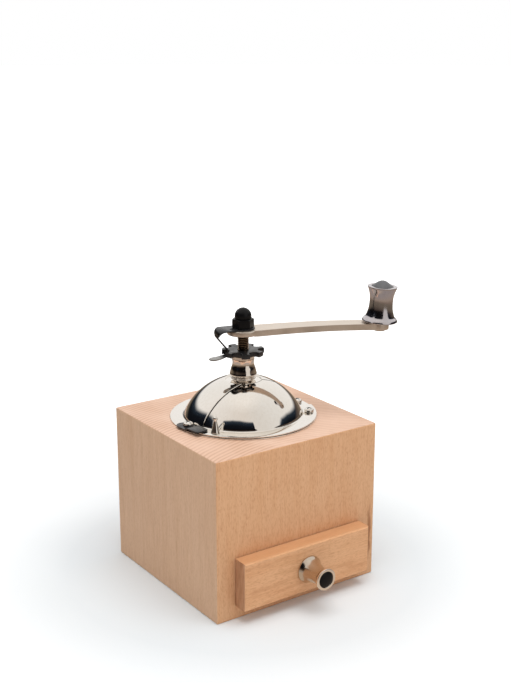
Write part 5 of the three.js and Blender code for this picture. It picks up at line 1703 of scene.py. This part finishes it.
def floor_material(tint, lift):
    """Matt white paper, a little bluer near the mill, where warm light from the wood falls on it.
    The background's rays see it lifted to white farther out; its shadow stays."""
    material, tree, shader, point = blank("white_paper")
    reach = distance(tree, point)
    far = graded(tree, reach, NEAR_FLOOR, 2 * NEAR_FLOOR)
    fibre = grain_noise(tree, point, PAPER_FIBRE, 3.0)
    feed(tree, shader, {
        "Base Color": mixed(tree, far, tint, "F3F4F4"),
        "Roughness": graded(tree, fibre, 0.3, 0.7, 0.85, 0.95), "Specular IOR Level": 0.1,
    })
    edge = graded(tree, reach, NEAR_FLOOR, 2 * NEAR_FLOOR, lift, FLOOR_EDGE_LIFT)
    level = graded(tree, reach, 2 * NEAR_FLOOR, 8 * NEAR_FLOOR, edge, 1.0)
    glow = add(tree, "Emission", {
        "Color": WHITE, "Strength": math_of(tree, "MULTIPLY", level, background_rays(tree)),
    })
    both = add(tree, "AddShader", {
        0: shader.outputs["BSDF"], 1: glow.outputs["Emission"],
    })
    surface(tree, both.outputs["Shader"])
    return material


def round_ramp(tree, around, stops):
    """A ramp round the object, with (direction in degrees, colour) stops."""
    return stepped(tree, around, [((direction + 180) / 360, tint) for direction, tint in stops])


def grey(share):
    return (share, share, share, 1)


def tent_material():
    """White silk overhead, over black and navy flags whose top edge rises and falls round the
    object, and fade to the brown of the table at its foot."""
    material, tree, glow, point = glowing("silk_and_flags")
    toward = add(tree, "VectorMath", {0: point}, operation="NORMALIZE")
    parts = axes_of(tree, toward.outputs["Vector"])
    turn = math_of(tree, "ARCTAN2", parts["Y"], parts["X"])
    around = graded(tree, turn, -math.pi, math.pi)
    height = graded(tree, math_of(tree, "ARCSINE", parts["Z"]), -QUARTER, QUARTER, -90, 90)
    stops = [(direction, grey((top + 90) / 180)) for direction, top in FLAGS]
    tops = round_ramp(tree, around, stops)
    below = math_of(tree, "SUBTRACT", graded(tree, tops, 0, 1, -90, 90), height)
    soft = round_ramp(tree, around, [(direction, grey(share)) for direction, share in SOFTNESS])
    upper, lower = (graded(tree, soft, 0, 1, 0, end) for end in (-SOFT_WIDEST, SOFT_WIDEST))
    flag = graded(tree, below, upper, lower, kind="SMOOTHSTEP")
    tone = ramp(tree, graded(tree, below, 0, 24), FLAG_TONES)
    right = graded(tree, turn, math.radians(52), math.radians(66))
    warm = graded(tree, turn, math.radians(-75), math.radians(-55))
    # Low on the flags the table shines back: at the right, everywhere but at the rear left, and
    # all round at the foot.
    for high, low, share, text in ((9, 2, right, "4B4543"), (10, 3, warm, "5A4D45"),
                                   (3, -4, 1, "7E7263")):
        tone = mixed(tree, graded(tree, height, high, low, 0, share), tone, text)
    silk = round_ramp(tree, around, [(direction, colour(text)) for direction, text in SILK])
    silk = mixed(tree, graded(tree, height, 62, 82), silk, "F9F4EE")
    feed(tree, glow, {"Color": mixed(tree, flag, silk, tone)})
    return material


def table_material():
    """The grey table top under the paper's edge, as polished metal shows it: mauve-grey near
    the object, and beige farther out."""
    material, tree, glow, point = glowing("grey_table")
    reach = graded(tree, distance(tree, point), 0.0, TABLE_FAR)
    feed(tree, glow, {"Color": ramp(tree, reach, TABLE_TONES)})
    return material


def staged(name, material, mirrored=True):
    """Names the new piece of the studio. A mirrored one shows in metal, and is hidden from the
    camera and the light."""
    piece = bpy.context.object
    piece.name = name
    piece.data.materials.append(material)
    if mirrored:
        for ray in ("camera", "diffuse", "transmission", "shadow", "volume_scatter"):
            setattr(piece, "visible_" + ray, False)
    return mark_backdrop(piece)


def aimed(item, place, target):
    """Places a lamp or a camera, and turns it to look at its target."""
    item.location = place
    item.rotation_euler = (Vector(target) - item.location).to_track_quat("-Z", "Y").to_euler()
    bpy.context.scene.collection.objects.link(item)
    return item


class MILL_OT_stage(bpy.types.Operator):
    """Set up the floor, the light and the camera at the photograph's angle"""
    bl_idname = "mill.stage"
    bl_label = "Stage"

    def execute(self, context):
        sizes = context.scene.mill_stage
        studio_world(sizes.day)
        select_nothing()
        bpy.ops.mesh.primitive_circle_add(vertices=WIDE_STEPS, radius=FLOOR_RADIUS,
                                          fill_type="NGON")
        staged("floor", floor_material(sizes.floor, sizes.lift), mirrored=False)
        bpy.ops.mesh.primitive_circle_add(vertices=WIDE_STEPS, radius=STUDIO_RADIUS,
                                          fill_type="NGON", location=(0, 0, GAP))
        staged("table", table_material())
        ahead = CAMERA_PLACE - CAMERA_TARGET
        bpy.ops.mesh.primitive_uv_sphere_add(
            segments=WIDE_STEPS, ring_count=SMALL_STEPS, radius=STUDIO_RADIUS,
            location=(0, 0, TENT_HEIGHT), rotation=(0, 0, math.atan2(ahead.y, ahead.x)))
        staged("tent", tent_material())
        lamp = bpy.data.lights.new("key", "AREA")
        lamp.energy = sizes.key
        lamp.shape = "RECTANGLE"
        lamp.size, lamp.size_y = LAMP_SIZE
        lamp.color = LAMP_COLOUR
        key = aimed(bpy.data.objects.new("key", lamp), LAMP_PLACE, LAMP_AIM)
        key.visible_glossy = False
        lens = bpy.data.cameras.new("camera")
        lens.lens = sizes.lens
        lens.sensor_width = SENSOR_WIDTH
        context.scene.camera = aimed(bpy.data.objects.new("camera", lens), CAMERA_PLACE,
                                     CAMERA_TARGET)
        context.scene.view_settings.view_transform = "Standard"
        return {"FINISHED"}


class MILL_OT_finishes(bpy.types.Operator):
    """Make every finish"""
    bl_idname = "mill.finishes"
    bl_label = "Finishes"

    def execute(self, context):
        FINISH.update(finishes())
        return {"FINISHED"}


class MILL_PT_panel(bpy.types.Panel):
    """Lists the mill's pieces in the order in which they are made"""
    bl_idname = "MILL_PT_panel"
    bl_label = "Box mill"
    bl_space_type = "VIEW_3D"
    bl_region_type = "UI"
    bl_category = "Box mill"

    def draw(self, context):
        for name, group in GROUPS:
            column = self.layout.column(align=True)
            column.label(text=name.replace("mill_", "").capitalize())
            for key in group.__annotations__:
                column.prop(getattr(context.scene, name), key)
        for operator in OPERATORS:
            self.layout.operator(operator.bl_idname)


GROUPS = (
    ("mill_box", MILL_PG_box),
    ("mill_dome", MILL_PG_dome),
    ("mill_crank", MILL_PG_crank),
    ("mill_stage", MILL_PG_stage),
)
OPERATORS = (
    MILL_OT_finishes, MILL_OT_stage, MILL_OT_walls, MILL_OT_top, MILL_OT_drawer,
    MILL_OT_drawer_knob, MILL_OT_dome, MILL_OT_ring_screws, MILL_OT_latch, MILL_OT_neck,
    MILL_OT_wheel, MILL_OT_spindle, MILL_OT_arm, MILL_OT_crank_knob, MILL_OT_acorn, MILL_OT_clip,
    MILL_OT_inside,
)


def register():
    for name, group in GROUPS:
        bpy.utils.register_class(group)
        setattr(bpy.types.Scene, name, PointerProperty(type=group))
    for operator in OPERATORS:
        bpy.utils.register_class(operator)
    bpy.utils.register_class(MILL_PT_panel)


def unregister():
    bpy.utils.unregister_class(MILL_PT_panel)
    for operator in reversed(OPERATORS):
        bpy.utils.unregister_class(operator)
    for name, group in reversed(GROUPS):
        delattr(bpy.types.Scene, name)
        bpy.utils.unregister_class(group)


def main():
    """Registers the classes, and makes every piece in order."""
    register()
    for operator in OPERATORS:
        getattr(bpy.ops.mill, operator.bl_idname.split(".")[1])()


if __name__ == "__main__":
    main()
